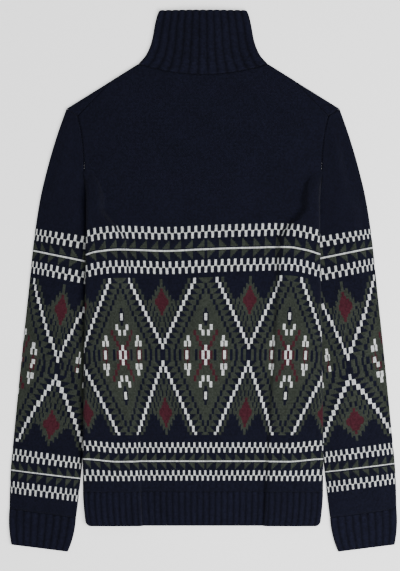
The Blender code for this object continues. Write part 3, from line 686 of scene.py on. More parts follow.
def body_rows(cloth, low, high, centre_x, hand):
    """Rows of the body's right half (hand 1) or left (-1), between two depths."""
    rows, knit = [], []
    courses = body_courses()
    for course in courses:
        y = row_height(course)
        top, under, radius, angle = body_section(min(y, ROLL_START - 0.01))
        path = np.array(top + under)
        total = lengths_along(path)[-1]
        stations, wales = wale_stations(course, y, top, radius, angle, total, hand)
        points, normals = smooth_along(path, stations)
        outer, inner = points + normals * low, points + normals * high
        if low > 0:
            outer, inner = inner, outer
        facing = np.clip(-normals[:, 1], 0, 1) if low == 0 else np.zeros(len(points))
        if y < 72:
            ribs = np.array([rib_depth(v) for v in stations * HEM_RIBS / total])
            shown = 0.9 * (1 - float(ease((y - 60) / 12)))
            outer = outer + (normals if low == 0 else -normals) * (ribs * shown)[:, None]
        reach = 1.0
        if y > 500:
            share = float(ease((y - 536) / 14))
            end = points[:, 0].max() * (1 - share) + points[TOP_COLUMN, 0] * share
            reach = max((on_curve(ARMHOLE_BACK, y) - SEAM) / end, 1.0)
        lines = []
        for side in (outer, inner):
            x = np.maximum(side[:, 0] * reach, centre_x)
            z = side[:, 1] + relief(hand * x, y) * facing * float(ease((y - 53) / 20))
            lines.append(np.stack([x, y + waver(hand * x, y), z], axis=1))
        keep = TOP_COLUMN + 1 if course == courses[-1] else len(wales)
        numbers = cloth.points(lines[0][:keep], lines[1][:keep])
        rows.append(numbers + [numbers[-1]] * (len(wales) - keep))
        knit.append([(w, course) for w in wales])
    return rows, knit, lines[0][:TOP_COLUMN + 1]


def line_resampled(points, count):
    """A straight-sided line with evenly spread points."""
    points = np.array(points, float)
    at = lengths_along(points)
    wanted = np.linspace(0, at[-1], count)
    return np.stack([np.interp(wanted, at, points[:, k]) for k in (0, 1)], axis=1)


def neck_line(stations, centre, power):
    return [(x, centre + (NECK_SIDE[1] - centre) * (x / NECK_SIDE[0]) ** power)
            for x in stations]


NECK_BACK_LINE = neck_line((0, 20, 40, 60, 80, 100), NECK_BACK, 2.0)
NECK_FRONT_LINE = neck_line((ZIP_EDGE, 22, 42, 62, 82, 100), NECK_FRONT, 2.6)


def on_line(points, x):
    for a, b in zip(points, points[1:]):
        if x <= b[0]:
            return a[1] + (b[1] - a[1]) * (max(x, a[0]) - a[0]) / (b[0] - a[0])
    return points[-1][1]


UPPER_ROWS = 60


def upper_rows(cloth, rows, knit, foot, top, centre, side, z_outer, z_inner, hand):
    """Flat rows above the turned-under sides, squeezed between four lines."""
    course = knit[-1][0][1]
    grid = coons(np.array(foot)[:, :2], top, line_resampled(centre, UPPER_ROWS),
                 line_resampled(side, UPPER_ROWS))
    spare = len(rows[0]) - len(top)
    for number, row in enumerate(grid[1:], 1):
        x, y = row.T
        fade = float(ease((UPPER_ROWS - 1 - number) / 5))
        z = relief(hand * x, y) * fade * (z_outer > WALL)
        sunk = np.zeros(len(x))
        if number == UPPER_ROWS - 1:
            sunk[:] = 0.8
        sunk[-1] = 0.8
        way = 1 if z_outer > WALL else -0.3
        numbers = cloth.points(np.stack([x, y, z_outer + z - sunk * way], axis=1),
                               np.stack([x, y, z_inner + z], axis=1))
        rows.append(numbers + [numbers[-1]] * spare)
        spots = [(a / STITCH, course + (b - ROLL_START) / STITCH) for a, b in row]
        knit.append(spots + [spots[-1]] * spare)


def shoulder_strip(share):
    return mix(STRIP_START, SHOULDER_TIP, share), mix(STRIP_START, STRIP_CORNER, share)


def joined_halves(half, other):
    """A right half and a left one that is still drawn on the right, as one piece."""
    both = Cloth()
    both.outer, both.inner = list(half.outer), list(half.inner)
    (rows, knit), (left_rows, left_knit) = half.grids[0], other.grids[0]
    number = {b[0]: a[0] for a, b in zip(rows, left_rows)}
    for p, (a, b) in enumerate(zip(other.outer, other.inner)):
        if p not in number:
            number[p] = len(both.outer)
            both.outer.append((-a[0], a[1], a[2]))
            both.inner.append((-b[0], b[1], b[2]))
    both.grid([[number[p] for p in left[:0:-1]] + right for left, right in zip(left_rows, rows)],
              [[(-w, c) for w, c in left[:0:-1]] + right
               for left, right in zip(left_knit, knit)])
    return both


def half_back(hand):
    half = Cloth()
    rows, knit, foot = body_rows(half, 0.0, WALL, 0.0, hand)
    top = list(NECK_BACK_LINE) + [STRIP_START]
    for share in (0.2, 0.4, 0.6, 0.8, 1.0):
        x, y = shoulder_strip(share)[1]
        top.append((x - 1.2 * SEAM * share, y - 1.5 * SEAM))
    side = [foot[-1][:2]] + [(on_curve(ARMHOLE_BACK, y) - SEAM, y)
                             for y in (565, 580, 595, 610, 622)]
    side.append(top[-1])
    upper_rows(half, rows, knit, foot, line_resampled(top, TOP_COLUMN + 1),
               [foot[0][:2], (0.0, NECK_BACK)], side, PAIR, PAIR - WALL, hand)
    half.grid(rows, knit)
    return half


def whole_back(finish):
    return make_cloth("cardigan_back", joined_halves(half_back(1), half_back(-1)), finish,
                      body_chart, must=[COLUMNS - TOP_COLUMN, COLUMNS, COLUMNS + TOP_COLUMN],
                      levels=[len(body_courses()) - 1])


STRIP_COLUMN = 60       # column of a front's top row where the shoulder strip begins


def front_cloth(hand):
    """A front with its shoulder strip, drawn on the right."""
    cloth = Cloth()
    rows, knit, foot = body_rows(cloth, WALL + PLY_GAP, PAIR, ZIP_EDGE, hand)
    shares = np.linspace(0, 1, TOP_COLUMN - STRIP_COLUMN + 1)
    run = Vector(SHOULDER_TIP) - Vector(NECK_SIDE)
    outward = Vector((-run.y, run.x)).normalized()
    radius = PAIR / 2
    rim_line = []
    for share in shares:
        rim, seam = (Vector(p) for p in shoulder_strip(float(share)))
        width = max((rim - seam).dot(outward), 0.01)
        rim_line.append(tuple(rim.lerp(seam, min(radius / width, 0.5))))
    neck = line_resampled(list(NECK_FRONT_LINE) + [rim_line[0]], STRIP_COLUMN + 1)
    top = np.concatenate([neck[:-1], np.array(rim_line)])
    side = [foot[-1][:2]] + [(x - SEAM, y) for y, x in ARMHOLE_FRONT[1:]] + [top[-1]]
    upper_rows(cloth, rows, knit, foot, top, [foot[0][:2], (ZIP_EDGE, NECK_FRONT)], side,
               0.0, WALL, hand)
    cloth.grid(rows, knit)
    # over the shoulder: round the rim, then flat on the back to the seam
    strip = [rows[-1][STRIP_COLUMN:TOP_COLUMN + 1]]
    spots = [[(float(s) * 36, 300.0) for s in shares]]
    turns = [("turn", math.radians(22.5 * k)) for k in range(1, 9)]
    for kind, value in turns + [("flat", k / 16) for k in range(1, 17)]:
        outer, inner = [], []
        for share in shares[1:]:
            rim, seam = (Vector(p) for p in shoulder_strip(float(share)))
            width = (rim - seam).dot(outward)
            bend = min(radius, width / 2)
            if kind == "turn":
                for r, line in ((radius, outer), (radius - WALL, inner)):
                    inset = (bend - bend / radius * r * math.sin(value)) / width
                    line.append((*rim.lerp(seam, inset), radius - r * math.cos(value)))
            else:
                at = bend / width + (1 - bend / width) * value
                x, y = rim.lerp(seam, at)
                swell = 0.7 * math.sin(math.pi * min(value * 1.1, 1.0)) * min(width / 9, 1)
                sunk = 0.8 if value == 1 or share == 1 else 0.0
                outer.append((x, y, PAIR + swell - sunk))
                inner.append((x, y, PAIR - WALL + swell))
        numbers = cloth.points(outer, inner)
        strip.append([strip[0][0]] + numbers)
        depth = value * radius / STITCH if kind == "turn" else (8 + 10 * value) / STITCH
        spots.append([(float(s) * 36, 300 + depth) for s in shares])
    cloth.grid(strip, spots)
    return cloth


def body_chart(wale, course):
    return stitch_colour(wale - CHART_SHIFT, course)


# ---- sleeves ----

def sleeve_height(x, y):
    """Height of a sleeve's upper face: low beside the body, soft in the middle."""
    if y > ROLL_START:
        beside = x - on_curve(ARMHOLE_BACK, y)
        rest = SLEEVE_FLAT + (PAIR - SLEEVE_FLAT) * float(ease((y - ROLL_START) / 30))
    else:
        beside = x - on_curve(BODY_EDGE, y)
        rest = SLEEVE_FLAT
    out = on_curve(SLEEVE_OUTSIDE, y) - x
    return rest + 3.0 * float(ease(beside / 34) * ease(out / 30))


SLEEVE_WALES = 64
SLEEVE_TIP = (SHOULDER_TIP[0] + 0.2, SHOULDER_TIP[1] - SEAM)
SLEEVE_CORNER = (STRIP_CORNER[0] + 0.3, STRIP_CORNER[1] - SEAM)
SLEEVE_OUTER_COURSES = ((-73.5, 86.8), (0, 254.7), (73.5, 425.5), (90, 462.0))
SLEEVE_INNER_COURSES = ((-73.5, 73.6), (0, 232.0), (73.5, 400.0), (90, 443.0))
SLEEVE_UPPER_ROWS = 70
SLEEVE_FOOT = (27.0, 13.0)          # height of the cuff's seam, at the outer and inner end
SLEEVE_LIFT = {1: (4.5, 10.0), -1: (0.0, 0.0)}      # rise of the upper and the lower band
SLEEVE_SPREAD = {       # width of its diamonds: outer, inner half above; outer, inner below
    1: (1.2, 0.85, 1.38, 1.38), -1: (1.08, 0.87, 1.15, 1.38),
}
SLEEVE_STEP = {1: 2.05, -1: 2.3}    # height of a course at the lowest checks
SLEEVE_APEX = 32                    # wale of the middle zigzag point


def sleeve_levels(hand):
    """For each row its course and its ends: outer fold, upper and under inner end."""
    levels = []
    rise, lift = SLEEVE_LIFT[hand]
    foot_out, foot_inn = SLEEVE_FOOT
    first = SLEEVE_OUTER_COURSES[0][0]
    first_out, first_inn = SLEEVE_OUTER_COURSES[0][1] + lift, SLEEVE_INNER_COURSES[0][1] + lift
    low = first - (first_out - foot_out) / SLEEVE_STEP[hand]
    for course in [low, low + 2, low + 4] + list(range(-94, 91)):
        if course < first:
            t = (course - low) / (first - low)
            out = foot_out + (first_out - foot_out) * t
            inn = foot_inn + (first_inn - foot_inn) * t
        else:
            out = straight(SLEEVE_OUTER_COURSES, line_drawn_in(course))
            inn = straight(SLEEVE_INNER_COURSES, line_drawn_in(course))
            raised = lift * float(ease(course / first))
            raised += rise * float(ease((course + 4) / 12) * (1 - ease((course - 76) / 14)))
            out, inn = out + raised, inn + raised
        outer = (on_curve(SLEEVE_OUTSIDE, out), out)
        inner = (on_curve(SLEEVE_INSIDE, inn), inn)
        levels.append((course, outer, inner, inner))
    hole = [(on_curve(ARMHOLE_BACK, y), y) for y in
            (443, 454, 465, 476, 488, 499, 510, 521, 532, 541, 550, 565, 580, 595, 610, 622)]
    hole = line_resampled(hole + [SLEEVE_CORNER], SLEEVE_UPPER_ROWS + 1)
    under = [(on_curve(ARMHOLE_BACK, y), y) for y in (443, 465, 488, 510, 530)]
    under += [(x, y) for y, x in ARMHOLE_FRONT] + [mix((200.2, 632.0), SLEEVE_TIP, 0.8)]
    under = line_resampled(under, SLEEVE_UPPER_ROWS + 1)
    start, last = levels[-1][1][1], SLEEVE_TIP[1]
    for k in range(1, SLEEVE_UPPER_ROWS + 1):
        out = start + (last - start) * k / SLEEVE_UPPER_ROWS
        outer = (on_curve(SLEEVE_OUTSIDE, out), out) if k < SLEEVE_UPPER_ROWS else SLEEVE_TIP
        levels.append((90 + (out - start) / STITCH, outer, tuple(hole[k]), tuple(under[k])))
    return levels


def sleeve_folds(x, y):
    """Creases of a sleeve's upper ply: soft troughs and ridges."""
    out = 0.0
    for cx, cy, length, width, turn, height in SLEEVE_CREASES:
        dx, dy = x - cx, y - cy
        along = dx * math.cos(turn) + dy * math.sin(turn)
        across = -dx * math.sin(turn) + dy * math.cos(turn)
        out += height * math.exp(-(along / length) ** 2 - (across / width) ** 2)
    return out


SLEEVE_CREASES = (      # (x, y, half length, half width, direction, height)
    (206.0, 566.0, 46.0, 9.0, 1.75, 1.1), (221.0, 560.0, 40.0, 6.0, 1.78, -0.9),
    (199.0, 500.0, 38.0, 8.0, 1.45, -0.8), (236.0, 470.0, 60.0, 12.0, 1.9, 0.7),
    (215.0, 330.0, 40.0, 14.0, 0.3, 0.5), (250.0, 250.0, 42.0, 15.0, -0.4, -0.5),
    (238.0, 190.0, 36.0, 10.0, 0.35, 0.45), (262.0, 110.0, 40.0, 12.0, 0.2, 0.5),
    (231.0, 62.0, 30.0, 8.0, -0.15, -0.45),
)


def sleeve_chart(hand):
    """The chart of one sleeve: as on the body, but its diamonds are spread."""
    def chart(wale, course):
        wale = abs(wale)
        if abs(course) < BAND_INNER:
            side = (0 if wale < SLEEVE_APEX else 1) + (0 if course > 0 else 2)
            wale = SLEEVE_APEX + (wale - SLEEVE_APEX) / SLEEVE_SPREAD[hand][side]
        return stitch_colour(wale, course)
    return chart


def sleeve_cloth(hand, crease):
    """A sleeve, drawn on the right. Hand is its side, and crease the strength of its
    creases, which a value below 0 turns round."""
    cloth = Cloth()
    n = SLEEVE_WALES
    upper, upper_knit, under, under_knit = [], [], [], []
    sleeve_rows = sleeve_levels(hand)
    closed = len(sleeve_rows) - SLEEVE_UPPER_ROWS - 1
    for j, (course, outer, upper_end, under_end) in enumerate(sleeve_rows):
        rings = []
        stations = np.arange(n + 1, dtype=float)
        stations[1:-1] = check_wales(stations[1:-1], course)
        lean = 0.05 * float(ease((outer[1] - 240) / 130) * (1 - ease((outer[1] - 470) / 90)))
        for ply, end in (("upper", upper_end), ("under", under_end)):
            width = math.dist(outer, end)
            spread = []
            for i in stations:
                share = 0.5 - 0.5 * math.cos(math.pi * i / n)
                share = 0.25 * share + 0.75 * i / n
                share -= lean * math.sin(math.pi * i / n)
                x, y = mix(outer, end, share)
                high = sleeve_height(x, y)
                rim = min(share, 1 - share) * width
                fold = float(ease((rim - 3) / 14))
                if ply == "upper":
                    high += 1.5 * crease * sleeve_folds(x, y) * fold * min(width / 40, 1)
                bend, bow = rounded(rim)
                inset = WALL / width * (1 - 2 * share) * (1 - bend)
                px, py = mix(outer, end, share + inset)
                half = high / 2
                inside = max(half - WALL, 0.15) * bow
                if ply == "upper":
                    spread.append(((x, y, half + half * bow), (px, py, half + inside)))
                else:
                    spread.append(((x, y, half - half * bow), (px, py, half - inside)))
            rings.append(spread)
        top, low = rings
        numbers = cloth.points(*zip(*top))
        upper.append(numbers)
        if j <= closed:
            middle = cloth.points(*zip(*low[1:-1]))
            under.append([numbers[0]] + middle + [numbers[-1]])
        else:
            middle = cloth.points(*zip(*low[1:]))
            under.append([numbers[0]] + middle)
        widths = [min(1.0, math.dist(outer, end) / (n * 1.5)) for end in (upper_end, under_end)]
        upper_knit.append([(i * widths[0], course) for i in stations])
        under_knit.append([(-i * widths[1], course) for i in stations])
    cloth.grid([row[::-1] for row in upper], [row[::-1] for row in upper_knit])
    cloth.grid(under, under_knit)
    return cloth


# ---- ribs ----

RIB_STEPS = 8


def rib_depth(position):
    """Depth below a rib's crown; grooves at whole numbers."""
    f = position % 1.0
    return 1.2 * (1 - math.sin(math.pi * f) ** 0.7)


def rib_spots(ribs):
    return [k / RIB_STEPS for k in range(ribs * RIB_STEPS + 1)]


def hem_cloths():
    """The back's rib and the right front's."""
    levels = np.concatenate([[0.0, 0.5, 1.2, 2.2, 3.6], np.linspace(5.5, HEM_TOP, 18)])
    ribs = HEM_RIBS
    spots = rib_spots(ribs)
    pieces = []
    for low, high, is_back in ((0.0, WALL, True), (WALL + PLY_GAP, PAIR, False)):
        half = Cloth()
        rows, knit = [], []
        for y in levels:
            top, under, _, _ = body_section(y)
            path = np.array(top + under)
            total = lengths_along(path)[-1]
            stations = np.array(spots) / ribs * total
            if not is_back:
                stations = ZIP_EDGE + stations * (1 - ZIP_EDGE / total)
            points, normals = smooth_along(path, stations)
            calm = 0.55 + 0.45 * float(ease(y / 10)) * (1 - 0.3 * float(ease((y - 44) / 8)))
            depth = np.array([rib_depth(s) for s in spots]) * calm
            if is_back:
                outer = points + normals * depth[:, None]
                inner = points + normals * high
            else:
                outer = points + normals * (high - depth * 0.8)[:, None]
                inner = points + normals * low
            rim = 0.5 * (1 - math.sqrt(min(y / 1.2, 1.0))) if y < 1.2 else 0.0
            outer = outer + normals * (rim if is_back else -rim)
            corner = 3.2 * max(1 - y / 5.5, 0.0) ** 2
            out3, in3 = ([(x - corner * float(ease((x - 168) / 14)), y, z) for x, z in face]
                         for face in (outer, inner))
            rows.append(half.points(out3, in3))
            knit.append([(s * 4, y / STITCH) for s in spots])
        half.grid(rows, knit)
        pieces.append(half)
    return pieces


CUFF_RIBS = 9
CUFF_HEIGHT = 6.0
CUFF_LINES = (          # outer and inner end at the cuff's foot, middle and seam
    ((296.8, -29.0), (209.3, -40.0)), ((300.4, -2.0), (200.6, -15.0)),
    ((299.9, 26.7), (196.5, 12.7)),
)


def cuff_cloth():
    spots = rib_spots(CUFF_RIBS)
    cloth = Cloth()
    rows, knit = [], []
    for v in np.linspace(0, 1, 20):
        ends = []
        for k in (0, 1):
            a, b, c = (line[k] for line in CUFF_LINES)
            # a curve through foot, middle and top
            ends.append(tuple(a[i] * (1 - v) * (1 - 2 * v) + b[i] * 4 * v * (1 - v)
                              + c[i] * v * (2 * v - 1) for i in (0, 1)))
        out, inn = ends
        width = math.dist(out, inn)
        ring = []
        for ply in ("upper", "under"):
            for s in (spots if ply == "upper" else spots[-2:0:-1]):
                share = s / CUFF_RIBS
                rim = min(share, 1 - share) * width
                bend, bow = rounded(rim)
                x, y = mix(out, inn, share)
                inset = WALL / width * (1 - 2 * share) * (1 - bend)
                px, py = mix(out, inn, share + inset)
                depth = rib_depth(s) * min(rim / 3.0, 1.0)
                sign = 1 if ply == "upper" else -1
                half = CUFF_HEIGHT / 2
                reach = (half + 0.3) * bow - depth
                z = half + sign * min(reach, half + (0.3 if sign > 0 else 0.0))
                ring.append(((x, y, z), (px, py, half + sign * (half - WALL) * bow)))
        numbers = cloth.points(*zip(*ring))
        rows.append((numbers + numbers[:1])[::-1])
        around = list(spots) + [2 * CUFF_RIBS - s for s in spots[-2:0:-1]] + [2 * CUFF_RIBS]
        knit.append([(s * 4, v * 54 / STITCH) for s in around][::-1])
    cloth.grid(rows, knit)
    return cloth


COLLAR_RIBS = 13
ARCH = 4.0


def arch(x, y):
    return ARCH * float(ease((y - 706) / 22) * (1 - ease((abs(x) - 12) / 36)))


def collar_dome(x, y):
    rise = 5.3 * float(ease((y - NECK_BACK) / 22) * (1 - 0.8 * ease((abs(x) - 15) / 45)))
    return WALL + PLY_GAP + rise


def collar_rim(y, low):
    start = WALL + 0.3
    return start + ((WALL + low) / 2 - start) * float(ease((y - NECK_SIDE[1]) / 15))


def collar_cloth():
    cloth = Cloth()
    rows, knit = [], []
    spots = rib_spots(COLLAR_RIBS)
    for v in np.linspace(0, 1, 36):
        v = float(v)

        def spot(share, seam_line, top_height):
            base = on_line(seam_line, share * NECK_SIDE[0]) + SEAM
            y = base + (top_height(share) - base) * v
            side = on_curve(COLLAR_SIDE, NECK_SIDE[1] + (COLLAR_TOP - NECK_SIDE[1]) * v)
            return share * side, y

        def front_top(share):
            return COLLAR_TOP_FRONT + (COLLAR_TOP - COLLAR_TOP_FRONT) * share ** 2

        side = on_curve(COLLAR_SIDE, NECK_SIDE[1] + (COLLAR_TOP - NECK_SIDE[1]) * v)
        calm = 0.55 + 0.45 * float(ease(v / 0.12)) * (1 - 0.45 * float(ease((v - 0.9) / 0.1)))
        back_line, front_line, wales = [], [], []
        for s in spots:
            share = 2 * s / COLLAR_RIBS - 1
            x, y = spot(abs(share), NECK_BACK_LINE, lambda _: COLLAR_TOP)
            x = math.copysign(x, share)
            y -= float(ease((v - 0.9) / 0.1)) * (0.7 * rib_depth(s) + 1.8 * abs(share) ** 24)
            rim = (1 - abs(share)) * side
            bend, bow = rounded(rim)
            low = collar_dome(x, y)
            top = low + WALL + 0.6 - rib_depth(s) * calm * min(rim / 3.0, 1.0)
            middle = collar_rim(y, low)
            inset = math.copysign(max(abs(x) - WALL * (1 - bend), 0), x)
            back_line.append(((x, y, middle + (top - middle) * bow),
                              (inset, y, middle + (low - middle) * bow)))
        for s in spots[1:]:
            share = 1 - 2 * s / COLLAR_RIBS
            if share <= 0:
                break
            x, y = spot(share, NECK_FRONT_LINE, front_top)
            rim = (1 - share) * side
            bend, bow = rounded(rim)
            lift = arch(x, y)
            low = lift + rib_depth(s) * 0.7 * calm * min(rim / 3.0, 1.0)
            middle = collar_rim(y, collar_dome(x, y))
            inset = x - WALL * (1 - bend)
            if x < ZIP_EDGE:
                x = inset = ZIP_EDGE + 0.02 * (share * side - ZIP_EDGE) / side
            front_line.append(((x, y, middle + (low - middle) * bow),
                               (inset, y, middle + (lift + WALL - middle) * bow)))
            wales.append(s)
        left = [((-a[0], a[1], a[2]), (-b[0], b[1], b[2])) for a, b in reversed(front_line)]
        rows.append(cloth.points(*zip(*(left + back_line + front_line))))
        around = ([-s for s in reversed(wales)] + list(spots)
                  + [COLLAR_RIBS + s for s in wales])
        knit.append([(s * 4, v * 99 / STITCH) for s in around])
    cloth.grid(rows, knit)
    return cloth


# ---- zip ----

TAPE_THICK, TAPE_WIDTH = 0.5, 14.0
SPLIT, ZIP_TOP = 760.2, 768.0


def tape_cloth():
    low = WALL + SEAM
    foot, rise = NECK_FRONT + SEAM, COLLAR_TOP_FRONT - NECK_FRONT - SEAM
    heights = [10.0, 300.0] + [foot + rise * v for v in (0.0, 0.2, 0.45, 0.54, 0.63, 0.8)]
    heights += [SPLIT - 4.0, SPLIT, ZIP_TOP]
    heights = np.interp(np.linspace(0, len(heights) - 1, 8 * (len(heights) - 1) + 1),
                        range(len(heights)), heights)
    cloth = Cloth()
    rows, knit = [], []
    for y in heights:
        first = 1.2 if y < SPLIT else 1.5
        xs = [first, 2.2, 3.4, 5.0, 8.0, 11.0, TAPE_WIDTH - 0.8, TAPE_WIDTH]
        lift = arch(0.0, y)
        rows.append(cloth.points([(x, y, low + TAPE_THICK + lift) for x in xs],
                                 [(x, y, low + 0.02 + lift) for x in xs]))
        knit.append([(x, y) for x in xs])
    cloth.grid(rows, knit)
    return cloth


def joined_copies(name, faces, copies, finish):
    """One piece from copies of a small mesh, each given by its points."""
    count = len(copies[0])
    mesh = bpy.data.meshes.new(name)
    mesh.from_pydata(np.concatenate(copies).tolist(), [],
                     [[k * count + p for p in face] for k in range(len(copies)) for face in faces])
    mesh.materials.append(finish)
    row = bpy.data.objects.new(name, mesh)
    bpy.context.scene.collection.objects.link(row)
    return row


def shape_of(small):
    """Points and faces of a small mesh, whose object is then removed."""
    points = np.array([v.co[:] for v in small.data.vertices])
    faces = [tuple(p.vertices) for p in small.data.polygons]
    bpy.data.objects.remove(small)
    return points, faces


def zip_tooth():
    """One tooth that grips the tape's edge, modelled at the place of the first one."""
    bpy.ops.object.select_all(action="DESELECT")
    centre = in_world([(1.45, FIRST_TOOTH, 1.5)])[0]
    bpy.ops.mesh.primitive_cube_add(size=1.0, location=centre,
                                    scale=(2.5 * MM, 1.3 * MM, 2.3 * MM))
    tooth = bpy.context.object
    tooth.name = "first_tooth"
    bpy.ops.object.transform_apply(location=True, rotation=False, scale=True)
    bpy.ops.object.mode_set(mode="EDIT")
    bpy.ops.mesh.select_all(action="DESELECT")
    bpy.ops.object.mode_set(mode="OBJECT")
    for face in tooth.data.polygons:
        face.select = face.normal.x < -0.9
    bpy.ops.object.mode_set(mode="EDIT")
    bpy.ops.mesh.select_mode(type="FACE")
    bpy.ops.transform.resize(value=(1.0, 0.7, 0.8))
    bpy.ops.mesh.select_all(action="SELECT")
    bpy.ops.mesh.bevel(offset=0.22 * MM, segments=1, affect="EDGES")
    bpy.ops.object.mode_set(mode="OBJECT")
    return tooth


TOOTH_PITCH = 2.6
FIRST_TOOTH = 13.0


def row_of_teeth(source, side):
    """Points of the teeth up one tape, each a copy of the first."""
    teeth = []
    height = FIRST_TOOTH + (0.0 if side > 0 else TOOTH_PITCH / 2)
    while height < ZIP_TOP - 1.0:
        if not SPLIT - 17.0 < height < SPLIT + 3.4:     # the slider's place
            moved = source.copy()
            moved[:, 1] += (height - FIRST_TOOTH) * MM
            moved[:, 2] += arch(0.0, height) * MM
            if height > SPLIT:
                moved[:, 0] += 0.5 * MM
            moved[:, 0] *= side
            teeth.append(moved)
        height += TOOTH_PITCH
    return teeth


def zip_teeth(metal):
    source, faces = shape_of(zip_tooth())
    turned = [f[::-1] for f in faces]
    return (joined_copies("zip_teeth_right", faces, row_of_teeth(source, 1), metal),
            joined_copies("zip_teeth_left", turned, row_of_teeth(source, -1), metal))


# ---- linking: the stitches that join the pieces ----

def linking_stitch(size):
    """One flat oval stitch, modelled at the middle of the frame."""
    bpy.ops.object.select_all(action="DESELECT")
    bpy.ops.mesh.primitive_uv_sphere_add(segments=8, ring_count=5, radius=0.5, location=(0, 0, 0))
    stitch = bpy.context.object
    stitch.name = "first_linking_stitch"
    bpy.ops.object.mode_set(mode="EDIT")
    bpy.ops.mesh.select_all(action="SELECT")
    bpy.ops.transform.resize(value=tuple(v * MM for v in size))
    bpy.ops.object.mode_set(mode="OBJECT")
    return stitch


LINK_PITCH = 4.2


def linking(name, lines, thread):
    """Rows of stitches along seam lines of (x, y, z) points, slightly uneven."""
    source, faces = shape_of(linking_stitch((3.4, 1.5, 0.9)))
    stitches = []
    for line in lines:
        line = np.array(line, float)
        at = np.concatenate([[0.0], np.cumsum(np.linalg.norm(np.diff(line, axis=0), axis=1))])
        for k in range(int(at[-1] / LINK_PITCH)):
            here = LINK_PITCH / 2 + LINK_PITCH * k
            x, y, z = (np.interp(here, at, line[:, i]) for i in range(3))
            ahead = [np.interp(here + 1, at, line[:, i]) for i in range(2)]
            turn = math.atan2(ahead[1] - y, ahead[0] - x) + 0.16 * math.sin(k * 2.4)
            spin = np.array([[math.cos(turn), math.sin(turn), 0],
                             [-math.sin(turn), math.cos(turn), 0], [0, 0, 1]])
            stitches.append(source @ spin + in_world([(x, y, z)])[0])
    row = joined_copies(name, faces, stitches, thread)
    row.data.shade_smooth()
    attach(row, "garment")


def seam_lines():
    """Neck, shoulder, armhole and hem seams where they lie on the back."""
    z = PAIR - 0.6
    neck = [(x, y + SEAM / 2, z) for x, y in NECK_BACK_LINE[:-1]] + [(96.0, 713.4, z - 0.6)]
    strip = [(*shoulder_strip(t)[1], z) for t in (0.12, 0.5, 0.97)]
    hole = [(on_curve(ARMHOLE_BACK, y) - SEAM / 2, y, z)
            for y in (549, 556, 564, 572, 584, 596, 608, 620, 630)]
    strip_end = [(*mix(SLEEVE_CORNER, SLEEVE_TIP, t), z - 0.4 * t) for t in (0.1, 0.8)]
    rib = [(x, HEM_TOP + SEAM / 2, h - 0.6) for x, h in body_section(HEM_TOP)[0]]
    lines = [[(-2.1, y, z), (2.2, y, z)] for y in (NECK_BACK + SEAM / 2, HEM_TOP + SEAM / 2)]
    for line in (neck, strip, hole, strip_end, rib):
        lines += [line, [(-x, y, h) for x, y, h in line]]
    return lines


def thread_finish():
    thread, _, _, shader = shader_nodes("linking_yarn", 0.95)
    shader.inputs["Base Color"].default_value = (0.0035, 0.0038, 0.009, 1.0)
    shader.inputs["Specular IOR Level"].default_value = 0.1
    return thread


# ---- the whole cardigan ----

def zip_metal_finish():
    metal, nodes, links, shader = shader_nodes("dark_satin_metal", 0.34, 1.0)
    shader.inputs["Base Color"].default_value = (0.20, 0.20, 0.21, 1.0)
    coordinates = nodes.new("ShaderNodeTexCoord")
    grain = nodes.new("ShaderNodeTexNoise")
    grain.inputs["Scale"].default_value = 1400.0
    links.new(coordinates.outputs["Object"], grain.inputs["Vector"])
    spread = nodes.new("ShaderNodeMapRange")
    spread.inputs["To Min"].default_value = 0.26
    spread.inputs["To Max"].default_value = 0.46
    links.new(grain.outputs["Fac"], spread.inputs["Value"])
    links.new(spread.outputs[0], shader.inputs["Roughness"])
    return metal


def tape_finish():
    tape, nodes, links, shader = shader_nodes("woven_tape", 0.85)
    shader.inputs["Base Color"].default_value = (0.010, 0.012, 0.020, 1.0)
    place = nodes.new("ShaderNodeUVMap")
    place.uv_map = "knit"
    split = nodes.new("ShaderNodeSeparateXYZ")
    links.new(place.outputs["UV"], split.inputs[0])
    weave = maths(nodes, links, "SINE", maths(
        nodes, links, "ADD", maths(nodes, links, "MULTIPLY", split.outputs["X"], 9.0),
        maths(nodes, links, "MULTIPLY", split.outputs["Y"], 12.0)))
    bump = nodes.new("ShaderNodeBump")
    bump.inputs["Strength"].default_value = 0.4
    bump.inputs["Distance"].default_value = 0.0002
    links.new(weave, bump.inputs["Height"])
    links.new(bump.outputs["Normal"], shader.inputs["Normal"])
    return tape


def show(made, node):
    """Puts a finished piece in the place of its solid."""
    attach(made, "garment")
    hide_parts(node)
    return made


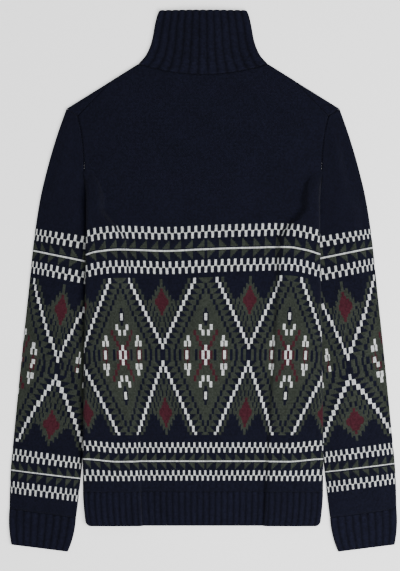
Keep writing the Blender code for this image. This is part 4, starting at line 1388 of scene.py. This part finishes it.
def cardigan():
    wool = knit_finish("patterned_knit")
    ribbing = knit_finish("ribbed_knit", YARNS[NAVY], 0.4)
    woven, metal = tape_finish(), zip_metal_finish()
    back = show(whole_back(wool), "back")
    opening = [len(body_courses()) - 1]    # row where the side opens for the sleeve
    fronts, sleeves, front_ribs, cuffs = [], [], [], []
    for side, cloth, must in (
        ("right", front_cloth(1), (STRIP_COLUMN, TOP_COLUMN)),
        ("left", front_cloth(-1).mirrored(), (COLUMNS - TOP_COLUMN, COLUMNS - STRIP_COLUMN)),
    ):
        made = make_cloth("cardigan_front_" + side, cloth, wool, body_chart, must=must,
                          levels=opening, turned=True)
        fronts.append(show(made, "front_" + side))
    for side, cloth, chart in (
        ("right", sleeve_cloth(1, 1.0), sleeve_chart(1)),
        ("left", sleeve_cloth(-1, -0.8).mirrored(), sleeve_chart(-1)),
    ):
        made = make_cloth("sleeve_knit_" + side, cloth, wool, chart)
        sleeves.append(show(made, "sleeve_" + side))

    back_rib, front_rib = hem_cloths()
    hem_back = show(make_cloth("hem_rib_back", joined_halves(back_rib, back_rib), ribbing,
                               stride=8), "hem_back")
    for side, cloth in (("right", front_rib), ("left", front_rib.mirrored())):
        made = make_cloth("hem_rib_front_" + side, cloth, ribbing, stride=8, turned=True)
        front_ribs.append(show(made, "hem_front_" + side))
    cuff = cuff_cloth()
    for side, cloth in (("right", cuff), ("left", cuff.mirrored())):
        made = make_cloth("cuff_rib_" + side, cloth, ribbing)
        cuffs.append(show(made, "cuff_" + side))
    collar = show(make_cloth("collar_rib", collar_cloth(), ribbing), "collar")

    tape = tape_cloth()
    tape_right = make_cloth("zip_cloth_right", tape, woven, stride=1)
    tape_left = make_cloth("zip_cloth_left", tape.mirrored(), woven, stride=1)
    teeth_right, teeth_left = zip_teeth(metal)
    for made, teeth, node in ((tape_right, teeth_right, "zip_tape_right"),
                              (tape_left, teeth_left, "zip_tape_left")):
        show(made, node)
        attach(teeth, "garment")
    for node in ("zip_box", "zip_stop_right", "zip_stop_left", "zip_slider", "zip_pull_tab"):
        part = bpy.data.objects[node]
        part.data.materials.clear()
        part.data.materials.append(metal)

    linking("linked_seams", seam_lines(), thread_finish())


cardigan()


# ---- stage ----

def room():
    bpy.ops.object.select_all(action="DESELECT")
    bpy.ops.mesh.primitive_plane_add(size=8.0, location=(0, 0, -0.0006))
    floor = bpy.context.object
    floor.name = "floor"
    paper, _, _, shader = shader_nodes("pale_floor", 0.9)
    shader.inputs["Base Color"].default_value = (0.92, 0.92, 0.92, 1.0)
    shader.inputs["Emission Color"].default_value = (1, 1, 1, 1)
    shader.inputs["Emission Strength"].default_value = 0.9
    floor.data.materials.append(paper)
    for name, place, size, power in (
        ("key", (0.95, -0.5, 1.6), 1.3, 52.0),
        ("fill", (-1.6, -0.6, 2.4), 2.4, 10.0),
        ("front", (0.3, 2.4, 2.0), 2.0, 6.0),
    ):
        lamp = bpy.data.lights.new(name, "AREA")
        lamp.size = size
        lamp.energy = power
        made = bpy.data.objects.new(name, lamp)
        made.location = place
        towards = Vector((0, 0, 0)) - Vector(place)
        made.rotation_euler = towards.to_track_quat("-Z", "Y").to_euler()
        bpy.context.scene.collection.objects.link(made)
    world = bpy.data.worlds.new("daylight")
    world.use_nodes = True
    world.node_tree.nodes["Background"].inputs["Color"].default_value = (1, 1, 1, 1)
    world.node_tree.nodes["Background"].inputs["Strength"].default_value = 0.35
    bpy.context.scene.world = world

    camera = bpy.data.cameras.new("camera")
    camera.sensor_fit = "VERTICAL"
    distance = 3.2
    camera.sensor_height = 36.0
    camera.lens = 36.0 * distance / (PHOTO_HEIGHT * PHOTO_MM * MM)
    eye = bpy.data.objects.new("camera", camera)
    eye.location = (-4.65 * MM, -7.2 * MM, distance)
    bpy.context.scene.collection.objects.link(eye)
    bpy.context.scene.camera = eye


room()
